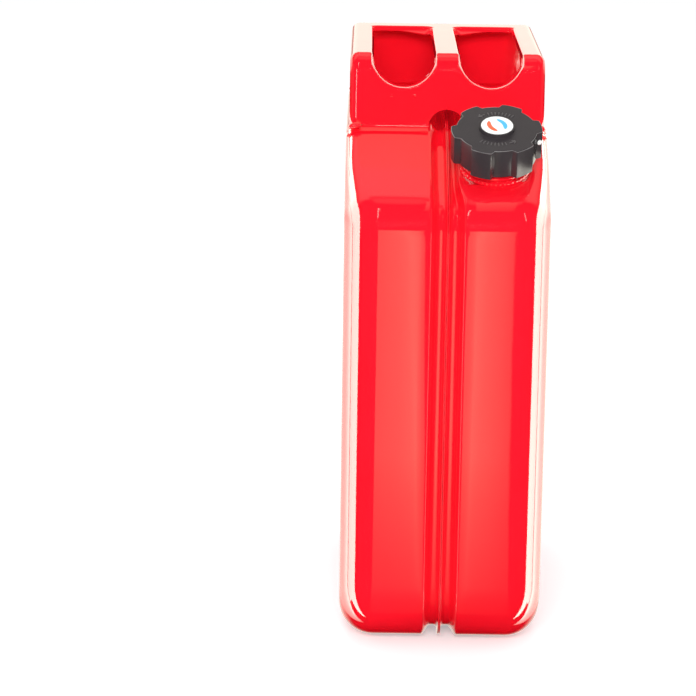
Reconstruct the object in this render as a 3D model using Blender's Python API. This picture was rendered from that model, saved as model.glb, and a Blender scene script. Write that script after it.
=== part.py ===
# Painted steel jerry can, upright pattern, with a stamped three-bar handle and a lobed screw cap.
# Metres, +Z up. The origin is on the ground under the middle of the can, and the narrow face with
# the filler neck looks along -Y. A side view is drawn in (y, z), and its outline runs up the front,
# back along the top, down the rear and forward along the base.

import math

import bmesh
import bpy
import numpy as np

# Body sizes
body_width = 0.165
body_depth = 0.345
body_height = 0.420
shoulder_drop = 0.0516
shoulder_tilt = math.radians(24)
bottom_radius = 0.055
shoulder_radius = 0.034
brow_radius = 0.040
rear_top_radius = 0.020
side_edge_radius = 0.028
top_edge_radius = 0.011
front_blend_drop = 0.058
rear_blend_drop = 0.105
top_blend_drop = 0.018
sheet = 0.0009
seat_gap = 0.0003

# Seam channel sizes
channel_half_width = 0.0150
channel_floor_half_width = 0.0070
channel_depth = 0.0080
flange_gap = 0.0003
flange_root_radius = 0.0035
flange_setback = 0.0004
squeeze_flat = 0.018
squeeze_end = 0.052

# Pressed pattern on the broad sides
press_depth = 0.0045
press_run = 0.008
frame_inset = 0.046
frame_band = 0.020
arm_half_width = 0.010
frame_corner_radius = 0.024
island_corner_radius = 0.016

# Filler neck sizes, heights measured along the neck from the shoulder
neck_offset = 0.038
neck_along_shoulder = 0.0620
neck_radius = 0.0270
neck_wall = 0.0030
neck_height = 0.0285
neck_spigot = 0.0060
neck_bead_reach = 0.0018
neck_bead_low = 0.0042
neck_bead_high = 0.0080
neck_weld_height = 0.0030
neck_weld_width = 0.0019

# Vent tube sizes
vent_radius = 0.0035
vent_wall = 0.0009
vent_reach = 0.105
vent_bend_radius = 0.014
vent_drop = 0.0120
vent_top_margin = 0.0030
vent_ceiling_margin = 0.0070

# Cap sizes, heights measured from the foot of its skirt
cap_height = 0.0247
cap_lobe_rise = 0.0041
cap_lobes = 6
cap_lobe_angle = math.radians(26)
cap_lobe_turn = math.radians(8)
cap_flank_angle = math.radians(4.5)
cap_wall = 0.0020
cap_top_thickness = 0.0025
cap_edge_radius = 0.0010
boss_radius = 0.0143
boss_height = 0.0036
badge_radius = 0.0128
badge_thickness = 0.0016
badge_recess = 0.0015
dot_radius = 0.0021
dot_length = 0.0010
dot_below_top = 0.0090
liner_clearance = 0.0005
liner_wall = 0.0022
liner_play = 0.0006
liner_top_thickness = 0.0015
liner_foot = 0.0012
liner_chamfer = 0.0008
gasket_thickness = 0.0026
gasket_width = 0.0036

# Handle sizes, with the feet of its plates measured from the can's front and rear
handle_margin = 0.0025
handle_sheet = 0.0015
handle_rise = 0.055
handle_front_setback = 0.107
handle_rear_setback = 0.014
handle_front_lean = math.radians(8)
front_bend_radius = 0.016
rear_bend_radius = 0.008
foot_bend_radius = 0.003
front_flange = 0.008
rear_flange = 0.006
foot_corner_relief = 0.004
edge_fold_radius = 0.007
edge_fold_leg = 0.004
slot_fold_radius = 0.0025
slot_fold_leg = 0.0016
slot_flare = 0.0008
slot_corner_flare = 0.0050
slot_corner_leg = 0.0020
slot_corner_reach = 0.030
middle_bar_width = 0.0196
side_bar_width = 0.0185
rear_bridge = 0.028
slot_inner_corner = 0.008
slot_outer_corner = 0.004
slot_margin = 0.006
arch_radius = 0.0155
arch_rise = 0.0150
tab_wrap = math.radians(55)
bead_half_height = 0.0021
bead_half_length = 0.0030
bead_start = math.radians(88)
bead_end = math.radians(62)

# Fineness
arc_step = math.radians(15)
press_arc_step = math.radians(30)
fine_step = math.radians(3)
round_steps = 48
tube_steps = 12
bead_steps = 10
dot_steps = 20
corner_steps = 4
blend_steps = 4
squeeze_steps = 12
press_steps = 3
notch_steps = 4
bend_steps = 5
tab_steps = 4

# Places that follow from the sizes
front = -body_depth / 2
rear = body_depth / 2
handle_top = body_height + handle_rise
handle_front_y = front + handle_front_setback
handle_rear_y = rear - handle_rear_setback
fold_start_x = body_width / 2 - handle_margin - edge_fold_radius
flange_end_x = fold_start_x - foot_corner_relief
slot_inner = middle_bar_width / 2
slot_outer = body_width / 2 - handle_margin - side_bar_width
shoulder_direction = np.array([math.cos(shoulder_tilt), math.sin(shoulder_tilt)])
neck_direction = np.array([-math.sin(shoulder_tilt), math.cos(shoulder_tilt)])
front_height = body_height - shoulder_drop
neck_seat = np.array([front, front_height]) + neck_along_shoulder * shoulder_direction
brow_y = front + shoulder_drop / math.tan(shoulder_tilt)
outline_corners = [(front, 0), (front, front_height), (brow_y, body_height), (rear, body_height), (rear, 0)]
outline_radii = [bottom_radius, shoulder_radius, brow_radius, rear_top_radius, bottom_radius]
neck_bore_radius = neck_radius - neck_wall
liner_radius = neck_radius + liner_clearance + liner_wall
cap_recess_radius = liner_radius + liner_play + cap_wall
cap_radius = cap_recess_radius + cap_lobe_rise
liner_top = cap_height - cap_top_thickness - seat_gap
liner_ceiling = liner_top - liner_top_thickness
gasket_top = liner_ceiling - seat_gap
gasket_low = gasket_top - gasket_thickness
cap_lift = neck_height + seat_gap - gasket_low


def clear_scene():
    for obj in list(bpy.data.objects):
        bpy.data.objects.remove(obj, do_unlink=True)


def material(name, colour, roughness, metallic=0.0):
    made = bpy.data.materials.new(name)
    made.use_nodes = True
    shader = made.node_tree.nodes["Principled BSDF"]
    shader.inputs["Base Color"].default_value = (*colour, 1.0)
    shader.inputs["Roughness"].default_value = roughness
    shader.inputs["Metallic"].default_value = metallic
    return made


def link_mesh(name, bm, parent=None):
    mesh = bpy.data.meshes.new(name)
    bm.to_mesh(mesh)
    bm.free()
    obj = bpy.data.objects.new(name, mesh)
    bpy.context.scene.collection.objects.link(obj)
    obj.parent = parent
    return obj


def finished(name, bm, finish, parent=None, closed=True):
    """Puts the mesh in the scene as one named piece, smooth but for its sharp edges."""
    if closed:
        bmesh.ops.recalc_face_normals(bm, faces=bm.faces)
    obj = link_mesh(name, bm, parent)
    obj.data.shade_smooth()
    obj.data.set_sharp_from_angle(angle=math.radians(35))
    obj.data.materials.append(finish)
    return obj


def empty_at(name, location, tilt=0.0, parent=None):
    empty = bpy.data.objects.new(name, None)
    bpy.context.scene.collection.objects.link(empty)
    empty.parent = parent
    empty.location = location
    empty.rotation_euler = (tilt, 0, 0)
    return empty


def unit(vectors):
    vectors = np.asarray(vectors, float)
    return vectors / np.linalg.norm(vectors, axis=-1, keepdims=True)


def left_of(directions):
    return np.stack([-directions[..., 1], directions[..., 0]], axis=-1)


def turned_by(direction, angle):
    return direction * math.cos(angle) + left_of(direction) * math.sin(angle)


def rounded_path(corners, radii, closed=False, step=arc_step):
    """A line whose corners are arcs: its points, the normal to its left at each, and each arc's span."""
    corners = [np.array(corner, float) for corner in corners]
    count = len(corners)
    points, normals, spans = [], [], []
    for i, corner in enumerate(corners):
        inward = corner - corners[i - 1]
        outward = corners[(i + 1) % count] - corner
        if not closed and i == 0:
            inward = outward
        if not closed and i == count - 1:
            outward = inward
        inward, outward = unit(inward), unit(outward)
        turn = math.atan2(inward[0] * outward[1] - inward[1] * outward[0], inward @ outward)
        first = len(points)
        if abs(turn) < 1e-6 or radii[i] == 0:
            points.append(corner)
            normals.append(left_of(unit(inward + outward)))
        else:
            side = math.copysign(1, turn)
            centre = corner + radii[i] * (side * left_of(inward) - inward * math.tan(abs(turn) / 2))
            for part in np.linspace(0, turn, max(1, round(abs(turn) / step)) + 1):
                normal = left_of(turned_by(inward, part))
                points.append(centre - side * radii[i] * normal)
                normals.append(normal)
        spans.append((first, len(points) - 1))
    return np.array(points), np.array(normals), spans


def running_length(points):
    return np.concatenate([[0.0], np.cumsum(np.linalg.norm(np.diff(points, axis=0), axis=1))])


def line_normals(points):
    """Left normals of an open line, lengthened at each bend so that an offset keeps its distance."""
    headings = unit(np.diff(points, axis=0))
    before = np.vstack([headings[:1], headings])
    after = np.vstack([headings, headings[-1:]])
    mean = unit(left_of(before + after))
    return mean / np.sum(mean * left_of(after), axis=1, keepdims=True)


def rounded_dip(start, end, depth, steps):
    """An S-shaped run from (start, 0) to (end, depth)."""
    shares = np.linspace(0, 1, steps + 1)
    return [(start + (end - start) * u, depth * (1 - math.cos(math.pi * u)) / 2) for u in shares]


def smoothstep(low, high, value):
    share = np.clip((value - low) / (high - low), 0, 1)
    return share * share * (3 - 2 * share)


def bridge(bm, first, second):
    count = len(first)
    for i in range(count):
        bm.faces.new((first[i], first[(i + 1) % count], second[(i + 1) % count], second[i]))


def body_outline(step=arc_step):
    return rounded_path(outline_corners, outline_radii, True, step)[:2]


def over_body(y, lift):
    """The place this far off the body's top at this y, and the outline's normal there."""
    points, normals = body_outline(fine_step)
    upper = (points[:, 1] > body_height / 2) & (normals[:, 1] > 0.1)
    raised = points[upper] + normals[upper] * lift
    z = np.interp(y, raised[:, 0], raised[:, 1])
    normal = [np.interp(y, raised[:, 0], normals[upper][:, i]) for i in range(2)]
    return np.array([y, z]), unit(normal)


def over_edge(x, y):
    """Height of the body's top above (x, y), on its flat or its rounded edge."""
    place, normal = over_body(y, 0)
    out = max(x - body_width / 2 + top_edge_radius, 0)
    return place[1] - (top_edge_radius - math.sqrt(top_edge_radius**2 - out**2)) / normal[1]


def blend_start(place):
    return body_height - (front_blend_drop if place[0] < 0 else rear_blend_drop)


def edge_radius_at(place):
    """The rounding between a half shell's wall and its broad side: wide below, tight round the top."""
    share = smoothstep(blend_start(place), body_height - top_blend_drop, place[1])
    return side_edge_radius + (top_edge_radius - side_edge_radius) * share


def station_shares(here, there):
    """Where a straight stretch of the outline needs stations: its start, and where its section changes."""
    span = np.linalg.norm(there - here)
    shares = [0.0]
    if abs(there[1] - here[1]) > 0.01:
        heights = np.linspace(blend_start(here), body_height - top_blend_drop, blend_steps + 1)
        shares += [(height - here[1]) / (there[1] - here[1]) for height in heights]
    if abs(unit(there - here) @ neck_direction) < 1e-6:
        middle = (neck_seat - here) @ shoulder_direction
        reaches = np.linspace(-squeeze_end, squeeze_end, squeeze_steps + 1)
        shares += [(middle + reach) / span for reach in reaches]
    kept = [0.0]
    for share in sorted(shares):
        if kept[-1] * span + 0.003 < share * span < span - 0.003:
            kept.append(share)
    return kept


def outline_stations():
    points, normals = body_outline()
    places, facing = [], []
    for here, there, normal in zip(points, np.roll(points, -1, axis=0), normals):
        for share in station_shares(here, there):
            places.append(here + (there - here) * share)
            facing.append(normal if share == 0 else left_of(unit(there - here)))
    return np.array(places), np.array(facing)


def channel_squeeze(place):
    """How wide the channel's wall stands beside the neck, as a share of its full spread."""
    offset = (place - neck_seat) @ shoulder_direction
    raised = (place - neck_seat) @ neck_direction
    near = 1 - smoothstep(squeeze_flat, squeeze_end, abs(offset))
    if abs(raised) > shoulder_radius / 2:
        near = 0
    root = flange_gap / 2 + sheet + flange_root_radius
    neck_foot = neck_offset - neck_radius - seat_gap - neck_weld_width
    return 1 - near * (channel_half_width - neck_foot) / (channel_half_width - root)


def shell_section(edge_radius, squeeze):
    """The sheet from the broad side to the seam flange and back along its inside, as (x, depth)."""
    corner = [
        (body_width / 2 - edge_radius * (1 - math.cos(a)), edge_radius * (1 - math.sin(a)))
        for a in np.linspace(0, math.pi / 2, 6)
    ]
    flange_face = flange_gap / 2 + sheet
    root = flange_face + flange_root_radius
    dip = rounded_dip(channel_half_width, channel_floor_half_width, channel_depth, 5)
    dip = [(root + (x - root) * squeeze, depth) for x, depth in dip]
    turn = [
        (root - flange_root_radius * math.sin(a), channel_depth - flange_root_radius * (1 - math.cos(a)))
        for a in np.linspace(0, math.pi / 2, 4)
    ]
    outer = np.array(corner + dip + turn)
    inner = outer - sheet * line_normals(outer)
    tip = [(flange_face, flange_setback), (flange_gap / 2, flange_setback)]
    return np.vstack([outer, tip, inner[::-1]])


def inset_corners(distance):
    """The outline's corners moved inwards by this distance."""
    corners = np.array(outline_corners, float)
    moved = []
    for i, corner in enumerate(corners):
        before = unit(corner - corners[i - 1])
        after = unit(corners[(i + 1) % len(corners)] - corner)
        a = corner - distance * left_of(before)
        b = corner - distance * left_of(after)
        share = np.linalg.solve(np.array([before, -after]).T, b - a)[0]
        moved.append(a + share * before)
    return np.array(moved)


def keep_side(corners, point, normal):
    """The part of a convex polygon on the side of the line that the normal points to."""
    kept = []
    for here, there in zip(corners, np.roll(corners, -1, axis=0)):
        a, b = (here - point) @ normal, (there - point) @ normal
        if a > 0:
            kept.append(here)
        if (a > 0) != (b > 0):
            kept.append(here + (there - here) * a / (a - b))
    return np.array(kept)


def island_corners(shrink):
    """The raised fields between the arms of the cross, each drawn in by this distance."""
    foot = inset_corners(frame_inset + press_run + frame_band)
    field_outline = inset_corners(frame_inset + press_run + frame_band + shrink)
    arms = [(foot[0], foot[3]), (foot[4], foot[1])]
    fields = []
    for sides in ((1, 1), (1, -1), (-1, 1), (-1, -1)):
        field = field_outline
        for (start, end), side in zip(arms, sides):
            normal = side * left_of(unit(end - start))
            field = keep_side(field, start + normal * (arm_half_width + shrink), normal)
        fields.append(field)
    return fields


def step_loops(outer_corners, inner_corners, radius, outer_level, inner_level):
    """Loops of (y, z, level) that run in an S from a polygon to the one inside it."""
    count = len(outer_corners)
    outer = rounded_path(outer_corners, [radius] * count, True, press_arc_step)[0]
    inner = rounded_path(inner_corners, [radius - press_run] * count, True, press_arc_step)[0]
    loops = []
    for share, rise in rounded_dip(0, 1, 1, press_steps):
        level = outer_level + (inner_level - outer_level) * rise
        loops.append([(y, z, level) for y, z in outer + (inner - outer) * share])
    return loops


def fill_between(bm, loops):
    """A flat face between loops of vertices, the first outside and the others holes in it."""
    edges = []
    for loop in loops:
        for pair in zip(loop, loop[1:] + loop[:1]):
            edges.append(bm.edges.get(pair) or bm.edges.new(pair))
    bmesh.ops.triangle_fill(bm, use_beauty=True, edges=edges)


def add_broad_side(bm, side, rim, face_x):
    """The broad side within the shell's rounded edge, with its pressed frame and cross."""

    def ring(loop):
        return [bm.verts.new((side * (face_x - level), y, z)) for y, z, level in loop]

    rim_corners = inset_corners(frame_inset)
    floor_corners = inset_corners(frame_inset + press_run)
    frame = step_loops(rim_corners, floor_corners, frame_corner_radius, 0, press_depth)
    frame_rings = [ring(loop) for loop in frame]
    for outer, inner in zip(frame_rings, frame_rings[1:]):
        bridge(bm, outer, inner)
    fill_between(bm, [rim, frame_rings[0]])
    feet = []
    for foot, top in zip(island_corners(0), island_corners(press_run)):
        field_rings = [ring(loop) for loop in step_loops(foot, top, island_corner_radius, press_depth, 0)]
        for outer, inner in zip(field_rings, field_rings[1:]):
            bridge(bm, outer, inner)
        fill_between(bm, [field_rings[-1]])
        feet.append(field_rings[0])
    fill_between(bm, [frame_rings[-1], *feet])


def half_shell(name, side, finish):
    """One deep-drawn half: its wall swept round the outline, and its pressed broad side."""
    bm = bmesh.new()
    rows = []
    for place, normal in zip(*outline_stations()):
        squeeze = channel_squeeze(place) if side > 0 else 1.0
        row = []
        for x, depth in shell_section(edge_radius_at(place), squeeze):
            y, z = place - normal * depth
            row.append(bm.verts.new((side * x, y, z)))
        rows.append(row)
    columns = [list(column) for column in zip(*rows)]
    for first, second in zip(columns, columns[1:]):
        bridge(bm, first, second)
    add_broad_side(bm, side, columns[0], body_width / 2)
    add_broad_side(bm, side, columns[-1], body_width / 2 - sheet)
    return finished(name, bm, finish)


def cut_with(obj, cutter):
    cutter.hide_render = True
    cutter.display_type = "WIRE"
    cutter.hide_set(True)
    cut = obj.modifiers.new("cut", "BOOLEAN")
    cut.operation = "DIFFERENCE"
    cut.object = cutter
    cut.solver = "EXACT"


def cylinder_cutter(name, radius, length, location, tilt):
    bm = bmesh.new()
    bmesh.ops.create_cone(
        bm, cap_ends=True, segments=round_steps, radius1=radius, radius2=radius, depth=length
    )
    cutter = link_mesh(name, bm)
    cutter.location = location
    cutter.rotation_euler = (tilt, 0, 0)
    return cutter


def turned(name, profile, finish, parent):
    """(radius, height) points turned round the parent's Z axis: a ring, or a solid if it ends on the axis."""
    turns = np.linspace(0, 2 * math.pi, round_steps, endpoint=False)
    solid = profile[0][0] == 0
    bm = bmesh.new()
    rings = []
    for radius, height in profile[1:-1] if solid else profile:
        rings.append([bm.verts.new((radius * math.cos(a), radius * math.sin(a), height)) for a in turns])
    for first, second in zip(rings, rings[1:]):
        bridge(bm, first, second)
    if solid:
        bm.faces.new(rings[0])
        bm.faces.new(rings[-1])
    else:
        bridge(bm, rings[-1], rings[0])
    return finished(name, bm, finish, parent)


def arc(centre, radius, start, end, steps):
    turns = np.radians(np.linspace(start, end, steps + 1))
    return [(centre[0] + radius * math.cos(a), centre[1] + radius * math.sin(a)) for a in turns]


def neck(finish, axis):
    """Turned filler neck: a spigot in the shoulder's hole, a collar bead and a rounded rim."""
    bead_middle = (neck_bead_low + neck_bead_high) / 2
    bead_half = (neck_bead_high - neck_bead_low) / 2
    rim = (neck_radius - neck_bore_radius) / 3
    profile = [(neck_bore_radius, -neck_spigot), (neck_radius, -neck_spigot), (neck_radius, neck_bead_low)]
    for a in np.radians([-45, 0, 45]):
        profile.append((neck_radius + neck_bead_reach * math.cos(a), bead_middle + bead_half * math.sin(a)))
    profile.append((neck_radius, neck_bead_high))
    profile += arc((neck_radius - rim, neck_height - rim), rim, 0, 90, 2)
    profile += arc((neck_bore_radius + rim, neck_height - rim), rim, 90, 180, 2)
    return turned("neck", profile, finish, axis)


def neck_weld(finish, axis):
    inner = neck_radius + seat_gap
    bulge = [
        (inner + neck_weld_width * math.cos(a), seat_gap + neck_weld_height * math.sin(a))
        for a in np.linspace(0, math.pi / 2, 4)
    ]
    return turned("neck_weld", [(inner, seat_gap), *bulge], finish, axis)


def vent_route():
    """Down inside the neck's upper side, round under its spigot, then back beneath the can's top."""
    across = neck_seat + (neck_bore_radius - seat_gap - vent_radius) * shoulder_direction
    start = across + (neck_height - vent_top_margin) * neck_direction
    elbow = across - (neck_spigot + vent_drop) * neck_direction
    end = np.array([elbow[0] + vent_reach, body_height - sheet - vent_ceiling_margin - vent_radius])
    return rounded_path([start, elbow, end], [0, vent_bend_radius, 0])[:2]


def vent_tube(finish):
    bm = bmesh.new()
    walls = []
    for radius in (vent_radius, vent_radius - vent_wall):
        spokes = arc((0, 0), radius, 0, 360, tube_steps)[1:]
        rings = []
        for place, normal in zip(*vent_route()):
            rings.append([bm.verts.new((neck_offset + u, *(place + normal * v))) for u, v in spokes])
        for first, second in zip(rings, rings[1:]):
            bridge(bm, first, second)
        walls.append(rings)
    for end in (0, -1):
        bridge(bm, walls[0][end], walls[1][end])
    return finished("vent_tube", bm, finish)


def cap_outline():
    """The cap's lobed outline, as radii and angles: six raised lobes with straight flanks."""
    pitch = 2 * math.pi / cap_lobes
    half = cap_lobe_angle / 2
    foot = half + cap_flank_angle
    gap = pitch - 2 * foot
    lobe = [(-foot, cap_recess_radius), (-half, cap_radius - cap_edge_radius / 2)]
    lobe += [(share * half, cap_radius) for share in (-0.8, 0, 0.8)]
    lobe += [(half, cap_radius - cap_edge_radius / 2), (foot, cap_recess_radius)]
    lobe += [(foot + gap * share, cap_recess_radius) for share in (1 / 3, 2 / 3)]
    angles = [cap_lobe_turn + i * pitch + angle for i in range(cap_lobes) for angle, radius in lobe]
    radii = [radius for i in range(cap_lobes) for angle, radius in lobe]
    return np.array(radii), np.array(angles)


def cap_shell(finish, axis):
    """Lobed grip: hollow skirt, flat top and a round boss with a recess for the badge."""
    full, angles = cap_outline()
    hollow = full - cap_wall
    edge = cap_edge_radius
    boss_top = cap_height + boss_height
    recess_floor = boss_top - badge_recess - seat_gap
    steps = [
        (hollow, cap_height - cap_top_thickness),
        (hollow, 0),
        (full, 0),
        (full, cap_height - edge),
        (full - edge * 0.3, cap_height - edge * 0.3),
        (full - edge, cap_height),
        (boss_radius, cap_height),
        (boss_radius, boss_top - edge / 2),
        (boss_radius - edge / 2, boss_top),
        (badge_radius + seat_gap, boss_top),
        (badge_radius + seat_gap, recess_floor),
    ]
    bm = bmesh.new()
    rings = []
    for radii, height in steps:
        flat = np.broadcast_to(radii, full.shape)
        rings.append([bm.verts.new((r * math.cos(a), r * math.sin(a), height)) for r, a in zip(flat, angles)])
    for first, second in zip(rings, rings[1:]):
        bridge(bm, first, second)
    bm.faces.new(rings[0])
    bm.faces.new(rings[-1])
    return finished("cap_shell", bm, finish, axis)


def cap_badge(finish, axis):
    low = cap_height + boss_height - badge_recess
    high = low + badge_thickness
    edge = badge_thickness / 4
    rim = [(badge_radius, low), (badge_radius, high - edge), (badge_radius - edge, high)]
    return turned("cap_badge", [(0, low), *rim, (0, high)], finish, axis)


def cap_liner(finish, axis):
    """Inner cup that turns on the neck and holds the gasket."""
    inner = neck_radius + liner_clearance
    outer = liner_radius
    profile = [
        (0, liner_ceiling),
        (inner, liner_ceiling),
        (inner, liner_foot + liner_chamfer),
        (inner + liner_chamfer, liner_foot),
        (outer, liner_foot),
        (outer, liner_top - liner_chamfer),
        (outer - liner_chamfer, liner_top),
        (0, liner_top),
    ]
    return turned("cap_liner", profile, finish, axis)


def cap_gasket(finish, axis):
    outer = neck_radius + liner_clearance - seat_gap
    inner = outer - gasket_width
    profile = [(inner, gasket_low), (outer, gasket_low), (outer, gasket_top), (inner, gasket_top)]
    return turned("cap_gasket", profile, finish, axis)


def cap_dot(finish, axis):
    """Small round marker on the front flank of the lobe at the cap's right."""
    radii, angles = cap_outline()
    foot, shoulder = np.column_stack([radii * np.cos(angles), radii * np.sin(angles)])[:2]
    sideways = unit(shoulder - foot)
    middle = (foot + shoulder) / 2
    height = cap_height - dot_below_top
    bm = bmesh.new()
    rings = []
    for lift in (seat_gap, seat_gap + dot_length):
        ring = []
        for u, v in arc((0, 0), dot_radius, 0, 360, dot_steps)[1:]:
            x, y = middle + sideways * u - left_of(sideways) * lift
            ring.append(bm.verts.new((x, y, height + v)))
        rings.append(ring)
    bridge(bm, *rings)
    bm.faces.new(rings[0])
    bm.faces.new(rings[1])
    return finished("cap_dot", bm, finish, axis)


def handle_path():
    """The handle's outer line in the side view, and the lengths along it where each bend starts and ends."""
    lift = seat_gap + handle_sheet
    toes = [over_body(handle_front_y - front_flange * share, lift)[0] for share in (1, 0.5)]
    heels = [over_body(handle_rear_y + rear_flange * share, lift)[0] for share in (0.5, 1)]
    front_foot = over_body(handle_front_y, lift)[0]
    front_top_y = handle_front_y + (handle_top - front_foot[1]) * math.tan(handle_front_lean)
    corners = [
        *toes,
        front_foot,
        (front_top_y, handle_top),
        (handle_rear_y, handle_top),
        over_body(handle_rear_y, lift)[0],
        *heels,
    ]
    radii = [0, 0, foot_bend_radius, front_bend_radius, rear_bend_radius, foot_bend_radius, 0, 0]
    points, normals, spans = rounded_path(corners, radii, False, fine_step)
    running = running_length(points)
    bends = [(running[first], running[last]) for first, last in spans]
    return points, normals, bends


def slot_outline(points, running, bends):
    """A slot between two bars, unrolled into (x, length), from the notch's foot up its outer side."""
    middle = (slot_inner + slot_outer) / 2
    radius = (slot_outer - slot_inner) / 2
    bend_low, bend_high = bends[3]
    rising = running < bend_high + 1e-7
    low_height = np.interp(bend_low, running, points[:, 1])
    low_turn = math.asin(min((handle_top - low_height) / radius, 0.95))
    right = []
    for turn in np.linspace(math.pi / 2, low_turn, notch_steps + 1):
        height = handle_top - radius * math.sin(turn)
        right.append((radius * math.cos(turn), np.interp(height, points[rising, 1], running[rising])))
    for s in np.linspace(bend_low, bend_high, bend_steps + 1)[1:]:
        below = handle_top - np.interp(s, running, points[:, 1])
        right.append((math.sqrt(max(radius**2 - below**2, 0)), s))
    left = [(-x, s) for x, s in right[:0:-1]]
    end = bends[4][0] + rear_bend_radius - rear_bridge
    outer, inner = slot_outer_corner, slot_inner_corner
    corners = arc((radius - outer, end - outer), outer, 0, 90, corner_steps)
    corners += arc((inner - radius, end - inner), inner, 90, 180, corner_steps)
    return np.array(right + corners + left) + (middle, 0)


def field_edge(ring, bends, low_row, rear_row):
    """For each point round a slot, the point that it meets on the edge of its rectangular field of sheet."""
    bend_low, bend_high = bends[3]
    side = notch_steps + bend_steps
    outer, inner = side + 1, side + 2 + corner_steps
    count = len(ring)
    anchors = [
        (0, ring[0][0], low_row),
        (2, fold_start_x, low_row),
        (notch_steps, fold_start_x, bend_low),
        (side, fold_start_x, bend_high),
        (outer, fold_start_x, ring[outer][1]),
        (outer + corner_steps / 2, fold_start_x, rear_row),
        (outer + corner_steps, ring[outer + corner_steps][0], rear_row),
        (inner, ring[inner][0], rear_row),
        (inner + corner_steps / 2, 0, rear_row),
        (inner + corner_steps, 0, ring[inner + corner_steps][1]),
        (inner + corner_steps + 1, 0, bend_high),
        (count - notch_steps, 0, bend_low),
        (count - 2, 0, low_row),
        (count, ring[0][0], low_row),
    ]
    index, x, s = zip(*anchors)
    steps = np.arange(count)
    return np.column_stack([np.interp(steps, index, x), np.interp(steps, index, s)])


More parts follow.
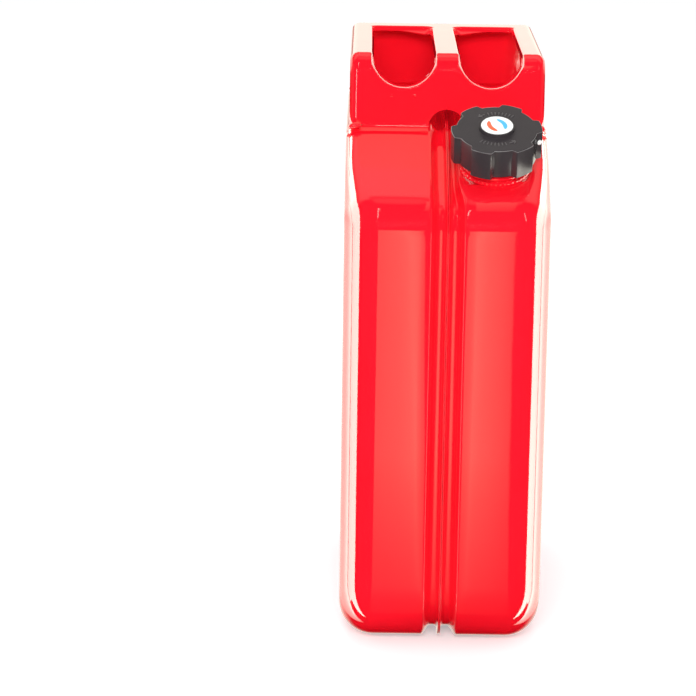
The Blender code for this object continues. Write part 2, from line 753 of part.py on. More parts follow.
def handle(finish):
    """One stamping: plates, bars, slots with turned-in rims, and folded outer edges."""
    points, normals, bends = handle_path()
    running = running_length(points)
    outline = slot_outline(points, running, bends)
    outward = -line_normals(np.vstack([outline[-1:], outline, outline[:1]]))[1:-1]
    low_row = outline[:, 1].min() - slot_fold_radius - slot_margin
    rear_row = outline[:, 1].max() + slot_fold_radius + slot_margin
    plate_start, plate_end = bends[2][1], bends[5][0]
    bm = bmesh.new()
    known = {}

    def vertex(x, s, depth=0.0):
        """A point of the sheet at this x and length along it, this deep under its outer face."""
        place = [np.interp(s, running, points[:, i]) for i in (0, 1)]
        facing = unit([np.interp(s, running, normals[:, i]) for i in (0, 1)])
        place = place - facing * depth
        if depth > rear_bend_radius and bends[4][0] - 1e-7 < s < bends[4][1] + 1e-7:
            # Deep in the tight rear bend, the folded edge meets itself in a mitre
            place = (handle_rear_y - depth, handle_top - depth)
            s = bends[4][0]
        spot = (round(x, 8), round(s, 8), round(depth, 8))
        if spot not in known:
            known[spot] = bm.verts.new((x, *place))
        return known[spot]

    def add_rows(lengths, across):
        """Sheet between the rows at these lengths, each row given as (x, depth) from the middle out."""
        rows = [[vertex(x, s, depth) for x, depth in across(s)] for s in lengths]
        for low, high in zip(rows, rows[1:]):
            for i in range(len(low) - 1):
                corners = list(dict.fromkeys((low[i], low[i + 1], high[i + 1], high[i])))
                if len(corners) > 2:
                    bm.faces.new(corners)

    # The slot's turned-in rim, which widens and deepens towards its rear inner corner
    corner_away = np.linalg.norm(outline - (slot_inner, outline[:, 1].max()), axis=1)
    near_corner = 1 - smoothstep(0, slot_corner_reach, corner_away)
    eased = slot_fold_radius * (1 - math.sqrt(0.5))
    rim = [
        (-slot_flare, slot_fold_radius + slot_fold_leg, slot_corner_flare, slot_corner_leg),
        (0, slot_fold_radius, 0, 0),
        (eased, eased, 0, 0),
        (slot_fold_radius, 0, 0, 0),
    ]
    rings = []
    for reach, depth, flare, leg in rim:
        spots = outline + outward * (reach - flare * near_corner)[:, None]
        rings.append([vertex(x, s, d) for (x, s), d in zip(spots, depth + leg * near_corner)])
    edge = field_edge(outline + outward * slot_fold_radius, bends, low_row, rear_row)
    rings.append([vertex(x, s) for x, s in edge])
    for inner, outer in zip(rings, rings[1:]):
        bridge(bm, outer, inner)

    def lengths_over(bend, steps):
        return list(np.linspace(*bends[bend], steps + 1))

    def share_of_width(s):
        """Below the plates the sheet draws in, so that it clears their folded edges."""
        return 1 if plate_start - 1e-7 < s < plate_end + 1e-7 else flange_end_x / fold_start_x

    toes = [0, bends[1][0], bends[2][0]]
    heels = [bends[5][1], bends[6][0], bends[7][0]]
    front_lengths = [*toes, *lengths_over(2, 2)[1:], low_row]
    rear_lengths = [rear_row, *lengths_over(4, bend_steps), *lengths_over(5, 2), *heels[1:]]
    for lengths, seam_row in ((front_lengths, low_row), (rear_lengths, rear_row)):
        columns = sorted({round(x, 8) for x, s in edge if abs(s - seam_row) < 1e-9})
        add_rows(lengths, lambda s: [(x * share_of_width(s), 0) for x in columns])

    fold_turns = [*np.linspace(0, math.pi / 2, 4), math.pi / 2]
    fold = [
        (fold_start_x + edge_fold_radius * math.sin(a), edge_fold_radius * (1 - math.cos(a)))
        for a in fold_turns
    ]
    fold[-1] = (fold[-1][0], fold[-1][1] + edge_fold_leg)
    side_lengths = [s for x, s in edge if abs(x - fold_start_x) < 1e-9]
    fold_lengths = sorted({round(s, 8) for s in front_lengths + side_lengths + rear_lengths})
    add_rows([s for s in fold_lengths if share_of_width(s) == 1], lambda s: fold)

    root = body_width / 2 - top_edge_radius
    radius = top_edge_radius + seat_gap + handle_sheet
    turns = np.linspace(0, tab_wrap, tab_steps + 1)
    tab = [(flange_end_x, 0)] + [(root + radius * math.sin(a), radius * (1 - math.cos(a))) for a in turns]
    add_rows(toes, lambda s: tab)
    add_rows(heels, lambda s: tab)

    for end, turn in ((plate_start, 1), (plate_end, -1)):
        facing_y = np.interp(end, running, normals[:, 0])
        skirt = []
        for (x, depth), a in zip(fold, fold_turns):
            rim_vertex = vertex(x, end, depth)
            y = rim_vertex.co.y
            inner_x, inner_y = x - handle_sheet * math.sin(a), y - handle_sheet * math.cos(a) * facing_y
            height = max(over_edge(x, y), over_edge(inner_x, inner_y)) + seat_gap
            skirt.append((rim_vertex, bm.verts.new((x, y, height))))
        for (rim_a, foot_a), (rim_b, foot_b) in zip(skirt, skirt[1:]):
            bm.faces.new((foot_a, foot_b, rim_b, rim_a)[::turn])

    obj = finished("handle", bm, finish, closed=False)
    mirror = obj.modifiers.new("other_side", "MIRROR")
    mirror.merge_threshold = 0.00005
    thickness = obj.modifiers.new("sheet", "SOLIDIFY")
    thickness.thickness = handle_sheet
    thickness.offset = -1
    thickness.use_even_offset = True
    for name, y in (("arch_front", handle_front_y), ("arch_rear", handle_rear_y)):
        foot, _ = over_body(y, 0)
        height = foot[1] + arch_rise - arch_radius
        cut_with(obj, cylinder_cutter(name, arch_radius, 4 * front_flange, (0, y, height), math.pi / 2))
    return obj


def handle_weld(name, side, y, outward, finish):
    """Weld bead before a lower corner of the handle's plate, lying across its flange's tab."""
    foot, normal = over_body(y + outward * (seat_gap + bead_half_length), 0)
    root = np.array([body_width / 2 - top_edge_radius, *(foot - normal * top_edge_radius)])
    lengthwise = np.array([0, normal[1], -normal[0]])
    reach = top_edge_radius + handle_sheet + 2 * seat_gap + bead_half_height
    cap_turn = bead_half_height / reach
    stations = [(bead_start + cap_turn * share, math.sqrt(1 - share**2)) for share in (0.9, 0.6)]
    stations += [(a, 1) for a in np.linspace(bead_start, bead_end, 4)]
    stations += [(bead_end - cap_turn * share, math.sqrt(1 - share**2)) for share in (0.6, 0.9)]
    bm = bmesh.new()
    rings = []
    for a, swell in stations:
        out = np.array([math.cos(a), *(normal * math.sin(a))])
        ring = []
        for u, v in arc((0, 0), swell, 0, 360, bead_steps)[1:]:
            place = root + out * (reach + u * bead_half_height) + lengthwise * v * bead_half_length
            ring.append(bm.verts.new((side * place[0], place[1], place[2])))
        rings.append(ring)
    for first, second in zip(rings, rings[1:]):
        bridge(bm, first, second)
    bm.faces.new(rings[0])
    bm.faces.new(rings[-1])
    return finished(name, bm, finish)


def main():
    clear_scene()
    paint = material("red_paint", (0.80, 0.010, 0.022), 0.25)
    weld_paint = material("weld_paint", (0.60, 0.008, 0.016), 0.35)
    tube_steel = material("tube_steel", (0.55, 0.55, 0.56), 0.35, 1.0)
    black_plastic = material("black_plastic", (0.025, 0.022, 0.025), 0.45)
    white_plastic = material("white_plastic", (0.80, 0.80, 0.80), 0.35)
    liner_plastic = material("liner_plastic", (0.60, 0.60, 0.58), 0.5)
    gasket_rubber = material("gasket_rubber", (0.03, 0.03, 0.03), 0.8)

    half_shell("left_shell", -1, paint)
    right_shell = half_shell("right_shell", 1, paint)
    hole = cylinder_cutter(
        "neck_hole", neck_radius + seat_gap, 4 * neck_spigot, (neck_offset, *neck_seat), shoulder_tilt
    )
    cut_with(right_shell, hole)
    handle(paint)
    for end, y, outward in (("front", handle_front_y, -1), ("rear", handle_rear_y, 1)):
        for word, side in (("left", -1), ("right", 1)):
            handle_weld(f"handle_weld_{end}_{word}", side, y, outward, weld_paint)

    spout_axis = empty_at("spout_axis", (neck_offset, *neck_seat), shoulder_tilt)
    neck(paint, spout_axis)
    neck_weld(weld_paint, spout_axis)
    vent_tube(tube_steel)

    cap_axis = empty_at("cap_axis", (0, 0, cap_lift), parent=spout_axis)
    cap_shell(black_plastic, cap_axis)
    cap_liner(liner_plastic, cap_axis)
    cap_gasket(gasket_rubber, cap_axis)
    cap_badge(white_plastic, cap_axis)
    cap_dot(white_plastic, cap_axis)


main()
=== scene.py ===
import math

import bmesh
import bpy
import numpy as np
from mathutils import Matrix, Vector


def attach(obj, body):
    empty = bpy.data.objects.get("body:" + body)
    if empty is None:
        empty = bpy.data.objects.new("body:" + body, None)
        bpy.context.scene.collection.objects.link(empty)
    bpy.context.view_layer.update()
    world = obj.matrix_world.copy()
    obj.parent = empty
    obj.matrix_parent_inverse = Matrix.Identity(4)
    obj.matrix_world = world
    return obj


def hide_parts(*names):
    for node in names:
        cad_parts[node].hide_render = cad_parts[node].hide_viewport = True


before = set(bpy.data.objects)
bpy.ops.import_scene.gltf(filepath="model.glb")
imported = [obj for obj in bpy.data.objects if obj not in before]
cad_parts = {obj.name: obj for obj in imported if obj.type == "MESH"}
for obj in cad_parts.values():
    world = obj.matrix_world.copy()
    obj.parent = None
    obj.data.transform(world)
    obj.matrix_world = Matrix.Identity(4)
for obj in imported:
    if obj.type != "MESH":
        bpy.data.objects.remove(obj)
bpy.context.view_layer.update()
print("frame loaded")

# Sizes of the can, in metres
can = {
    "width": 0.165, "depth": 0.345, "height": 0.420, "frontHeight": 0.3684, "shoulderTilt": math.radians(24),
    "cornerRadii": [0.055, 0.034, 0.040, 0.020, 0.055],
    "sideEdge": 0.028, "topEdge": 0.011, "blendFront": 0.362, "blendRear": 0.315, "blendTop": 0.402,
    "sheet": 0.0009, "gap": 0.0003,
}
neckPlace = {
    "x": 0.038, "alongShoulder": 0.0620, "radius": 0.0270, "bore": 0.0240, "height": 0.0285,
    "weldWidth": 0.0019,
}

front, rear = -can["depth"] / 2, can["depth"] / 2
halfWidth = can["width"] / 2
alongShoulder = np.array([math.cos(can["shoulderTilt"]), math.sin(can["shoulderTilt"])])
offShoulder = np.array([-math.sin(can["shoulderTilt"]), math.cos(can["shoulderTilt"])])
neckSeat = np.array([front, can["frontHeight"]]) + neckPlace["alongShoulder"] * alongShoulder
browY = front + (can["height"] - can["frontHeight"]) / math.tan(can["shoulderTilt"])
outlineCorners = np.array([
    (front, 0), (front, can["frontHeight"]), (browY, can["height"]), (rear, can["height"]), (rear, 0),
])


# Numbers and lines

def unit(vectors):
    return vectors / np.linalg.norm(vectors, axis=-1, keepdims=True)


def leftOf(directions):
    return np.stack([-directions[..., 1], directions[..., 0]], axis=-1)


def smoothStep(low, high, value):
    # A ramp from 0 to 1 that starts and ends level: 3t^2 - 2t^3
    t = np.clip((value - low) / (high - low), 0, 1)
    return t * t * (3 - 2 * t)


def easeRun(t):
    # Half a cosine wave from 0 to 1
    return (1 - np.cos(math.pi * np.clip(t, 0, 1))) / 2


def roundedLine(corners, radii, closed, arcStep, straightStep):
    # Straight runs joined by arcs: points, normals to the left, and the first and last point of each arc
    corners = np.asarray(corners, float)
    count = len(corners)
    points, normals, spans, ends = [], [], [], []
    for i in range(count):
        inward = corners[i] - corners[i - 1] if closed or i > 0 else corners[i + 1] - corners[i]
        outward = corners[(i + 1) % count] - corners[i] if closed or i < count - 1 else inward
        inward, outward = unit(inward), unit(outward)
        turn = math.atan2(inward[0] * outward[1] - inward[1] * outward[0], inward @ outward)
        side = math.copysign(1, turn)
        steps = max(1, round(abs(turn) / arcStep)) if radii[i] > 0 and abs(turn) > 1e-6 else 0
        part = np.linspace(0, turn, steps + 1)[:, None]
        normal = leftOf(inward * np.cos(part) + leftOf(inward) * np.sin(part))
        centre = corners[i] + radii[i] * (side * leftOf(inward) - inward * math.tan(abs(turn) / 2))
        points.append(centre - side * radii[i] * normal if steps else corners[i][None])
        normals.append(normal if steps else leftOf(unit(inward + outward))[None])
    allPoints, allNormals = [], []
    for i in range(count):
        spans.append((sum(len(p) for p in allPoints), sum(len(p) for p in allPoints) + len(points[i]) - 1))
        allPoints.append(points[i])
        allNormals.append(normals[i])
        if closed or i < count - 1:
            here, there = points[i][-1], points[(i + 1) % count][0]
            length = np.linalg.norm(there - here)
            shares = np.linspace(0, 1, max(1, round(length / straightStep)) + 1)[1:-1, None]
            allPoints.append(here + (there - here) * shares)
            allNormals.append(np.broadcast_to(leftOf(unit(there - here)), (len(shares), 2)))
    return np.vstack(allPoints), np.vstack(allNormals), spans


def lengthAlong(points):
    return np.concatenate([[0.0], np.cumsum(np.linalg.norm(np.diff(points, axis=0), axis=1))])


def insetCorners(corners, distance):
    # Each corner moves to where its two sides meet after both are moved inwards by this distance
    before = unit(corners - np.roll(corners, 1, axis=0))
    after = unit(np.roll(corners, -1, axis=0) - corners)
    cosine = np.sum(before * after, axis=1, keepdims=True)
    return corners - distance * (leftOf(before) + leftOf(after)) / (1 + cosine)


def insideDistance(spots, corners, radius):
    # How far inside a polygon with rounded corners each spot lies: the radius less its distance
    # from the polygon drawn in by that radius
    core = insetCorners(corners, radius)
    ends = np.roll(core, -1, axis=0)
    runs = ends - core
    away = spots[:, None, :] - core[None]
    share = np.clip(np.sum(away * runs, axis=2) / np.sum(runs * runs, axis=1), 0, 1)
    nearest = np.linalg.norm(away - share[..., None] * runs, axis=2).min(axis=1)
    depths = -np.sum(away * leftOf(unit(runs)), axis=2)
    inside = (depths > 0).all(axis=1)
    return radius + np.where(inside, nearest, -nearest)


def keepSide(corners, point, normal):
    # The part of a convex polygon on the side of a line that its normal points to
    kept = []
    for here, there in zip(corners, np.roll(corners, -1, axis=0)):
        a, b = (here - point) @ normal, (there - point) @ normal
        if a > 0:
            kept.append(here)
        if (a > 0) != (b > 0):
            kept.append(here + (there - here) * a / (a - b))
    return np.array(kept)


# Meshes

def gridFaces(rows, columns, rowsClose=False, columnsClose=False, start=0):
    # Quads between neighbouring points of a grid that is numbered row by row
    i = np.arange(rows if rowsClose else rows - 1)[:, None]
    j = np.arange(columns if columnsClose else columns - 1)[None]
    here, there = i * columns, (i + 1) % rows * columns
    nextJ = (j + 1) % columns
    quads = np.stack([here + j, there + j, there + nextJ, here + nextJ], axis=-1)
    return start + quads.reshape(-1, 4)


def makePiece(name, points, faceSets, material, body, replaced=(), merge=1e-6, sharpAngle=40):
    mesh = bpy.data.meshes.new(name)
    points = np.asarray(points, np.float32).reshape(-1, 3)
    mesh.vertices.add(len(points))
    mesh.vertices.foreach_set("co", points.ravel())
    sizes = np.concatenate([np.full(len(faces), faces.shape[1]) for faces in faceSets])
    loops = np.concatenate([faces.ravel() for faces in faceSets]).astype(np.int32)
    mesh.loops.add(len(loops))
    mesh.loops.foreach_set("vertex_index", loops)
    mesh.polygons.add(len(sizes))
    mesh.polygons.foreach_set("loop_start", (np.cumsum(sizes) - sizes).astype(np.int32))
    mesh.update(calc_edges=True)
    mesh.validate()
    bm = bmesh.new()
    bm.from_mesh(mesh)
    bmesh.ops.remove_doubles(bm, verts=bm.verts, dist=merge)
    bmesh.ops.dissolve_degenerate(bm, edges=bm.edges, dist=merge)
    bmesh.ops.recalc_face_normals(bm, faces=bm.faces)
    # An open sheet may come out facing inwards: then all of it is turned over
    middles = [face.calc_center_median() for face in bm.faces]
    centre = sum(middles, Vector()) / len(middles)
    outwards = sum(
        face.calc_area() * face.normal.dot(middle - centre) for face, middle in zip(bm.faces, middles)
    )
    if outwards < 0:
        bmesh.ops.reverse_faces(bm, faces=bm.faces)
    bm.to_mesh(mesh)
    bm.free()
    mesh.shade_smooth()
    mesh.set_sharp_from_angle(angle=math.radians(sharpAngle))
    obj = bpy.data.objects.new(name, mesh)
    bpy.context.scene.collection.objects.link(obj)
    obj.data.materials.append(material)
    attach(obj, body)
    if replaced:
        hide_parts(*replaced)
    return obj


def joinGrids(grids):
    # Several grids of points as one list of points and their quads
    points, faces, start = [], [], 0
    for grid, rowsClose, columnsClose in grids:
        rows, columns = grid.shape[:2]
        points.append(grid.reshape(-1, 3))
        faces.append(gridFaces(rows, columns, rowsClose, columnsClose, start))
        start += rows * columns
    return np.vstack(points), [np.vstack(faces)]


def cutWith(obj, cutter):
    cut = obj.modifiers.new("cut", "BOOLEAN")
    cut.operation = "DIFFERENCE"
    cut.solver = "EXACT"
    cut.object = cutter


def applyModifiers(obj):
    # The piece keeps the mesh that its modifiers make, so that no cutter is left in the scene
    graph = bpy.context.evaluated_depsgraph_get()
    made = bpy.data.meshes.new_from_object(obj.evaluated_get(graph), depsgraph=graph)
    cutters = [m.object for m in obj.modifiers if m.type == "BOOLEAN"]
    obj.modifiers.clear()
    obj.data = made
    for cutter in cutters:
        bpy.data.objects.remove(cutter, do_unlink=True)


def roundCutter(radius, length, matrix):
    bm = bmesh.new()
    bmesh.ops.create_cone(bm, cap_ends=True, segments=128, radius1=radius, radius2=radius, depth=length)
    bmesh.ops.transform(bm, matrix=matrix, verts=bm.verts)
    mesh = bpy.data.meshes.new("cutter")
    bm.to_mesh(mesh)
    bm.free()
    cutter = bpy.data.objects.new("cutter", mesh)
    bpy.context.scene.collection.objects.link(cutter)
    return cutter


# The neck's own frame: its origin on the shoulder, its Z axis along the neck
neckMatrix = (
    Matrix.Translation((neckPlace["x"], neckSeat[0], neckSeat[1]))
    @ Matrix.Rotation(can["shoulderTilt"], 4, "X")
)


def onNeck(points):
    # Points given in the neck's frame, moved to where the neck stands
    matrix = np.array(neckMatrix)
    return points @ matrix[:3, :3].T + matrix[:3, 3]


def turnedGrid(profile, steps, ripple=None):
    # A profile of (radius, height) turned round the Z axis: x = r cos a, y = r sin a
    profile = np.asarray(profile, float)
    angle = np.linspace(0, 2 * math.pi, steps, endpoint=False)[None]
    radius = np.repeat(profile[:, 0:1], steps, axis=1)
    height = np.repeat(profile[:, 1:2], steps, axis=1)
    if ripple:
        radius, height = ripple(radius, height, angle)
    return np.stack([radius * np.cos(angle), radius * np.sin(angle), height], axis=-1)


def arc(centre, radius, start, end, steps):
    angle = np.radians(np.linspace(start, end, steps + 1))
    return np.column_stack([centre[0] + radius * np.cos(angle), centre[1] + radius * np.sin(angle)])


# Materials

surface = {   # scales are in noise cells per metre
    "peelScale": 620.0, "waveScale": 26.0, "toneDetail": 4.0,
    "hairScale": 22.0, "hairStretch": (1.0, 14.0, 14.0), "hairTurn": (0.4, 0.7, 0.2), "hairBand": 0.012,
    "patchScale": 9.0, "patchEdges": (0.5, 0.65),
}


def newGroup(name, inputs, outputs):
    group = bpy.data.node_groups.new(name, "ShaderNodeTree")
    for label, kind, value in inputs:
        socket = group.interface.new_socket(label, in_out="INPUT", socket_type=kind)
        if value is not None:
            socket.default_value = value
    for label, kind in outputs:
        group.interface.new_socket(label, in_out="OUTPUT", socket_type=kind)
    return group, group.nodes.new("NodeGroupInput"), group.nodes.new("NodeGroupOutput")


def addNode(tree, kind, settings=None, **inputs):
    node = tree.nodes.new(kind)
    for key, value in (settings or {}).items():
        setattr(node, key, value)
    for label, value in inputs.items():
        byPlace = label[0] == "i" and label[1:].isdigit()
        socket = node.inputs[int(label[1:]) if byPlace else label]
        if isinstance(value, bpy.types.NodeSocket):
            tree.links.new(value, socket)
        else:
            socket.default_value = value
    return node


def makeUnevenGroup():
    # Soft clouds of variation, as a mask from 0 to 1
    group, start, end = newGroup(
        "uneven tone",
        [
            ("Vector", "NodeSocketVector", None), ("Size", "NodeSocketFloat", 0.05),
            ("Contrast", "NodeSocketFloat", 2.0),
        ],
        [("Mask", "NodeSocketFloat")],
    )
    scale = addNode(group, "ShaderNodeMath", {"operation": "DIVIDE"}, i0=1.0, i1=start.outputs["Size"])
    noise = addNode(
        group, "ShaderNodeTexNoise",
        Vector=start.outputs["Vector"], Scale=scale.outputs[0], Detail=surface["toneDetail"],
    )
    centred = addNode(group, "ShaderNodeMath", {"operation": "SUBTRACT"}, i0=noise.outputs["Fac"], i1=0.5)
    spread = addNode(
        group, "ShaderNodeMath", {"operation": "MULTIPLY_ADD", "use_clamp": True},
        i0=centred.outputs[0], i1=start.outputs["Contrast"], i2=0.5,
    )
    group.links.new(spread.outputs[0], end.inputs["Mask"])
    return group


def makeOrangePeelGroup():
    # The height of a sprayed and stoved coat: long soft waves, and a fine peel on them
    group, start, end = newGroup(
        "sprayed coat",
        [
            ("Vector", "NodeSocketVector", None), ("Peel", "NodeSocketFloat", 0.000004),
            ("Wave", "NodeSocketFloat", 0.00006),
        ],
        [("Height", "NodeSocketFloat")],
    )
    place = start.outputs["Vector"]
    peel = addNode(group, "ShaderNodeTexNoise", Vector=place, Scale=surface["peelScale"], Detail=1.0)
    wave = addNode(group, "ShaderNodeTexNoise", Vector=place, Scale=surface["waveScale"], Detail=0.0)
    fine = addNode(
        group, "ShaderNodeMath", {"operation": "MULTIPLY"}, i0=peel.outputs["Fac"], i1=start.outputs["Peel"]
    )
    both = addNode(
        group, "ShaderNodeMath", {"operation": "MULTIPLY_ADD"},
        i0=wave.outputs["Fac"], i1=start.outputs["Wave"], i2=fine.outputs[0],
    )
    group.links.new(both.outputs[0], end.inputs["Height"])
    return group


def makeScratchGroup():
    # Hairline scratches: thin bands of a stretched noise
    group, start, end = newGroup(
        "hairlines",
        [("Vector", "NodeSocketVector", None), ("Amount", "NodeSocketFloat", 0.5)],
        [("Mask", "NodeSocketFloat")],
    )
    place = start.outputs["Vector"]
    stretch = addNode(
        group, "ShaderNodeMapping", Vector=place, Rotation=surface["hairTurn"], Scale=surface["hairStretch"]
    )
    noise = addNode(
        group, "ShaderNodeTexNoise", Vector=stretch.outputs[0], Scale=surface["hairScale"], Detail=2.0
    )
    band = addNode(group, "ShaderNodeMath", {"operation": "SUBTRACT"}, i0=noise.outputs["Fac"], i1=0.5)
    size = addNode(group, "ShaderNodeMath", {"operation": "ABSOLUTE"}, i0=band.outputs[0])
    thin = addNode(
        group, "ShaderNodeMapRange", {"interpolation_type": "SMOOTHSTEP"},
        Value=size.outputs[0],
        **{"From Min": 0.0, "From Max": surface["hairBand"], "To Min": 1.0, "To Max": 0.0},
    )
    where = addNode(group, "ShaderNodeTexNoise", Vector=place, Scale=surface["patchScale"], Detail=1.0)
    low, high = surface["patchEdges"]
    patch = addNode(
        group, "ShaderNodeMapRange", Value=where.outputs["Fac"], **{"From Min": low, "From Max": high}
    )
    both = addNode(
        group, "ShaderNodeMath", {"operation": "MULTIPLY"}, i0=thin.outputs[0], i1=patch.outputs[0]
    )
    scaled = addNode(
        group, "ShaderNodeMath", {"operation": "MULTIPLY"}, i0=both.outputs[0], i1=start.outputs["Amount"]
    )
    group.links.new(scaled.outputs[0], end.inputs["Mask"])
    return group


unevenGroup = makeUnevenGroup()
peelGroup = makeOrangePeelGroup()
scratchGroup = makeScratchGroup()


def startMaterial(name):
    material = bpy.data.materials.new(name)
    material.use_nodes = True
    tree = material.node_tree
    place = tree.nodes.new("ShaderNodeTexCoord").outputs["Object"]
    return material, tree, tree.nodes["Principled BSDF"], place


def placeGroup(tree, group, **inputs):
    node = tree.nodes.new("ShaderNodeGroup")
    node.node_tree = group
    for label, value in inputs.items():
        if isinstance(value, bpy.types.NodeSocket):
            tree.links.new(value, node.inputs[label])
        else:
            node.inputs[label].default_value = value
    return node


def mixColours(tree, mask, first, second):
    mix = tree.nodes.new("ShaderNodeMix")
    mix.data_type = "RGBA"
    for socket, value in ((mix.inputs[0], mask), (mix.inputs[6], first), (mix.inputs[7], second)):
        if isinstance(value, bpy.types.NodeSocket):
            tree.links.new(value, socket)
        else:
            socket.default_value = value
    return mix.outputs[2]


def remap(tree, value, low, high):
    node = addNode(tree, "ShaderNodeMapRange", Value=value, **{"To Min": low, "To Max": high})
    return node.outputs[0]


gloss = {
    "red": (0.96, 0.0092, 0.0235, 1), "deepRed": (0.82, 0.0060, 0.0165, 1), "roughness": (0.04, 0.07),
    "index": 1.85, "toneSize": 0.09, "toneContrast": 1.6, "scratches": 0.35, "scratchRoughness": 0.18,
    "peel": 0.0000035, "wave": 0.00007, "weldWaveShare": 0.3,
}


def addScratches(tree, shader, place, amount, base, change):
    # The roughness moves from its base by a change where a hairline runs
    scratch = placeGroup(tree, scratchGroup, Vector=place, Amount=amount)
    rough = addNode(
        tree, "ShaderNodeMath", {"operation": "MULTIPLY_ADD"}, i0=scratch.outputs[0], i1=change, i2=base
    )
    tree.links.new(rough.outputs[0], shader.inputs["Roughness"])


def makeRedPaint(name, waveShare):
    material, tree, shader, place = startMaterial(name)
    tone = placeGroup(tree, unevenGroup, Vector=place, Size=gloss["toneSize"], Contrast=gloss["toneContrast"])
    colour = mixColours(tree, tone.outputs[0], gloss["red"], gloss["deepRed"])
    tree.links.new(colour, shader.inputs["Base Color"])
    base = remap(tree, tone.outputs[0], *gloss["roughness"])
    addScratches(tree, shader, place, gloss["scratches"], base, gloss["scratchRoughness"])
    shader.inputs["IOR"].default_value = gloss["index"]
    coat = placeGroup(tree, peelGroup, Vector=place, Peel=gloss["peel"], Wave=gloss["wave"] * waveShare)
    bump = addNode(tree, "ShaderNodeBump", Height=coat.outputs[0], Distance=1.0, Strength=1.0)
    tree.links.new(bump.outputs[0], shader.inputs["Normal"])
    return material


plasticWear = {
    "toneSize": 0.02, "toneContrast": 1.4, "scratches": 0.4, "scratchRoughness": -0.12,
    "roughnessSpread": 0.04,
}
plastics = {   # colour, deeper colour, roughness, height and size of the grain
    "charcoal cap": ((0.040, 0.034, 0.037, 1), (0.033, 0.028, 0.031, 1), 0.25, 0.000006, 0.0004),
    "white badge": ((0.86, 0.86, 0.84, 1), (0.80, 0.80, 0.78, 1), 0.22, 0.000002, 0.0006),
    # The pale cap edge is partly worn plastic and partly a painted highlight along the lobes' rim
    "worn cap edge and painted highlight": ((0.36, 0.35, 0.35, 1), (0.05, 0.045, 0.046, 1), 0.32, 0.000004, 0.0004),
    # The raised marks are paler than the cap as a painted highlight on their ridges
    "raised marks with painted highlight": ((0.095, 0.086, 0.088, 1), (0.075, 0.068, 0.070, 1), 0.30, 0.000004, 0.0004),
    "liner plastic": ((0.62, 0.62, 0.60, 1), (0.52, 0.52, 0.50, 1), 0.42, 0.000004, 0.0005),
    "gasket rubber": ((0.030, 0.030, 0.031, 1), (0.022, 0.022, 0.022, 1), 0.75, 0.00001, 0.0003),
    "orange ink": ((0.78, 0.13, 0.045, 1), (0.70, 0.10, 0.04, 1), 0.30, 0.000001, 0.0005),
    "blue ink": ((0.07, 0.47, 0.78, 1), (0.05, 0.38, 0.70, 1), 0.30, 0.000001, 0.0005),
}
capSheen = 1.42   # index of refraction of the cap's plastic, for a soft sheen


def makePlastic(name, colour, deepColour, roughness, grainHeight, grainSize):
    material, tree, shader, place = startMaterial(name)
    wear = plasticWear
    tone = placeGroup(tree, unevenGroup, Vector=place, Size=wear["toneSize"], Contrast=wear["toneContrast"])
    tree.links.new(mixColours(tree, tone.outputs[0], colour, deepColour), shader.inputs["Base Color"])
    spread = wear["roughnessSpread"]
    base = remap(tree, tone.outputs[0], roughness - spread, roughness + spread)
    addScratches(tree, shader, place, wear["scratches"], base, wear["scratchRoughness"])
    grain = addNode(tree, "ShaderNodeTexNoise", Vector=place, Scale=1 / grainSize, Detail=3.0)
    height = addNode(
        tree, "ShaderNodeMath", {"operation": "MULTIPLY"}, i0=grain.outputs["Fac"], i1=grainHeight
    )
    bump = addNode(tree, "ShaderNodeBump", Height=height.outputs[0], Distance=1.0, Strength=1.0)
    tree.links.new(bump.outputs[0], shader.inputs["Normal"])
    return material


zinc = {
    "colour": (0.62, 0.62, 0.60, 1), "deepColour": (0.45, 0.45, 0.46, 1), "roughness": (0.28, 0.45),
    "toneSize": 0.012, "toneContrast": 2.5,
}


def makeTubeSteel():
    material, tree, shader, place = startMaterial("zinc plated tube")
    tone = placeGroup(tree, unevenGroup, Vector=place, Size=zinc["toneSize"], Contrast=zinc["toneContrast"])
    colour = mixColours(tree, tone.outputs[0], zinc["colour"], zinc["deepColour"])
    tree.links.new(colour, shader.inputs["Base Color"])
    tree.links.new(remap(tree, tone.outputs[0], *zinc["roughness"]), shader.inputs["Roughness"])
    shader.inputs["Metallic"].default_value = 1.0
    return material


redPaint = makeRedPaint("red stoved gloss", 1.0)
weldPaint = makeRedPaint("red gloss on welds", gloss["weldWaveShare"])
plastic = {name: makePlastic(name, *finish) for name, finish in plastics.items()}
plastic["charcoal cap"].node_tree.nodes["Principled BSDF"].inputs["IOR"].default_value = capSheen
tubeSteel = makeTubeSteel()
print("materials made")


# Body: two deep-drawn half shells

shell = {
    "channelHalf": 0.0150, "channelFloor": 0.0070, "channelDepth": 0.0080, "flangeGap": 0.0003,
    "rootRadius": 0.0035, "setback": 0.0004, "tipRow": 0.0024, "squeezeFlat": 0.018, "squeezeEnd": 0.052,
    "pressDepth": 0.0045, "pressRun": 0.008, "frameInset": 0.046, "frameBand": 0.020, "armHalf": 0.010,
    "frameRadius": 0.024, "islandRadius": 0.016, "sideRings": 74, "crown": 0.0003, "holeDepth": 0.024,
    "arcStep": math.radians(3.2), "straightStep": 0.0040,
}


def pressPolygons():
    frameFoot = insetCorners(outlineCorners, shell["frameInset"])
    inner = insetCorners(outlineCorners, shell["frameInset"] + shell["pressRun"] + shell["frameBand"])
    fields = []
    for sides in ((1, 1), (1, -1), (-1, 1), (-1, -1)):
        field = inner
        for (start, end), side in zip(((inner[0], inner[3]), (inner[4], inner[1])), sides):
            normal = side * leftOf(unit(end - start))
            field = keepSide(field, start + normal * shell["armHalf"], normal)
        fields.append(field)
    return frameFoot, fields


def pressing(spots):
    # Depth of the pressed frame and cross: down over the frame's run, up again over each field's run
    frameFoot, fields = pressPolygons()
    depth = easeRun(insideDistance(spots, frameFoot, shell["frameRadius"]) / shell["pressRun"])
    for field in fields:
        depth = depth * (1 - easeRun(insideDistance(spots, field, shell["islandRadius"]) / shell["pressRun"]))
    return depth * shell["pressDepth"]


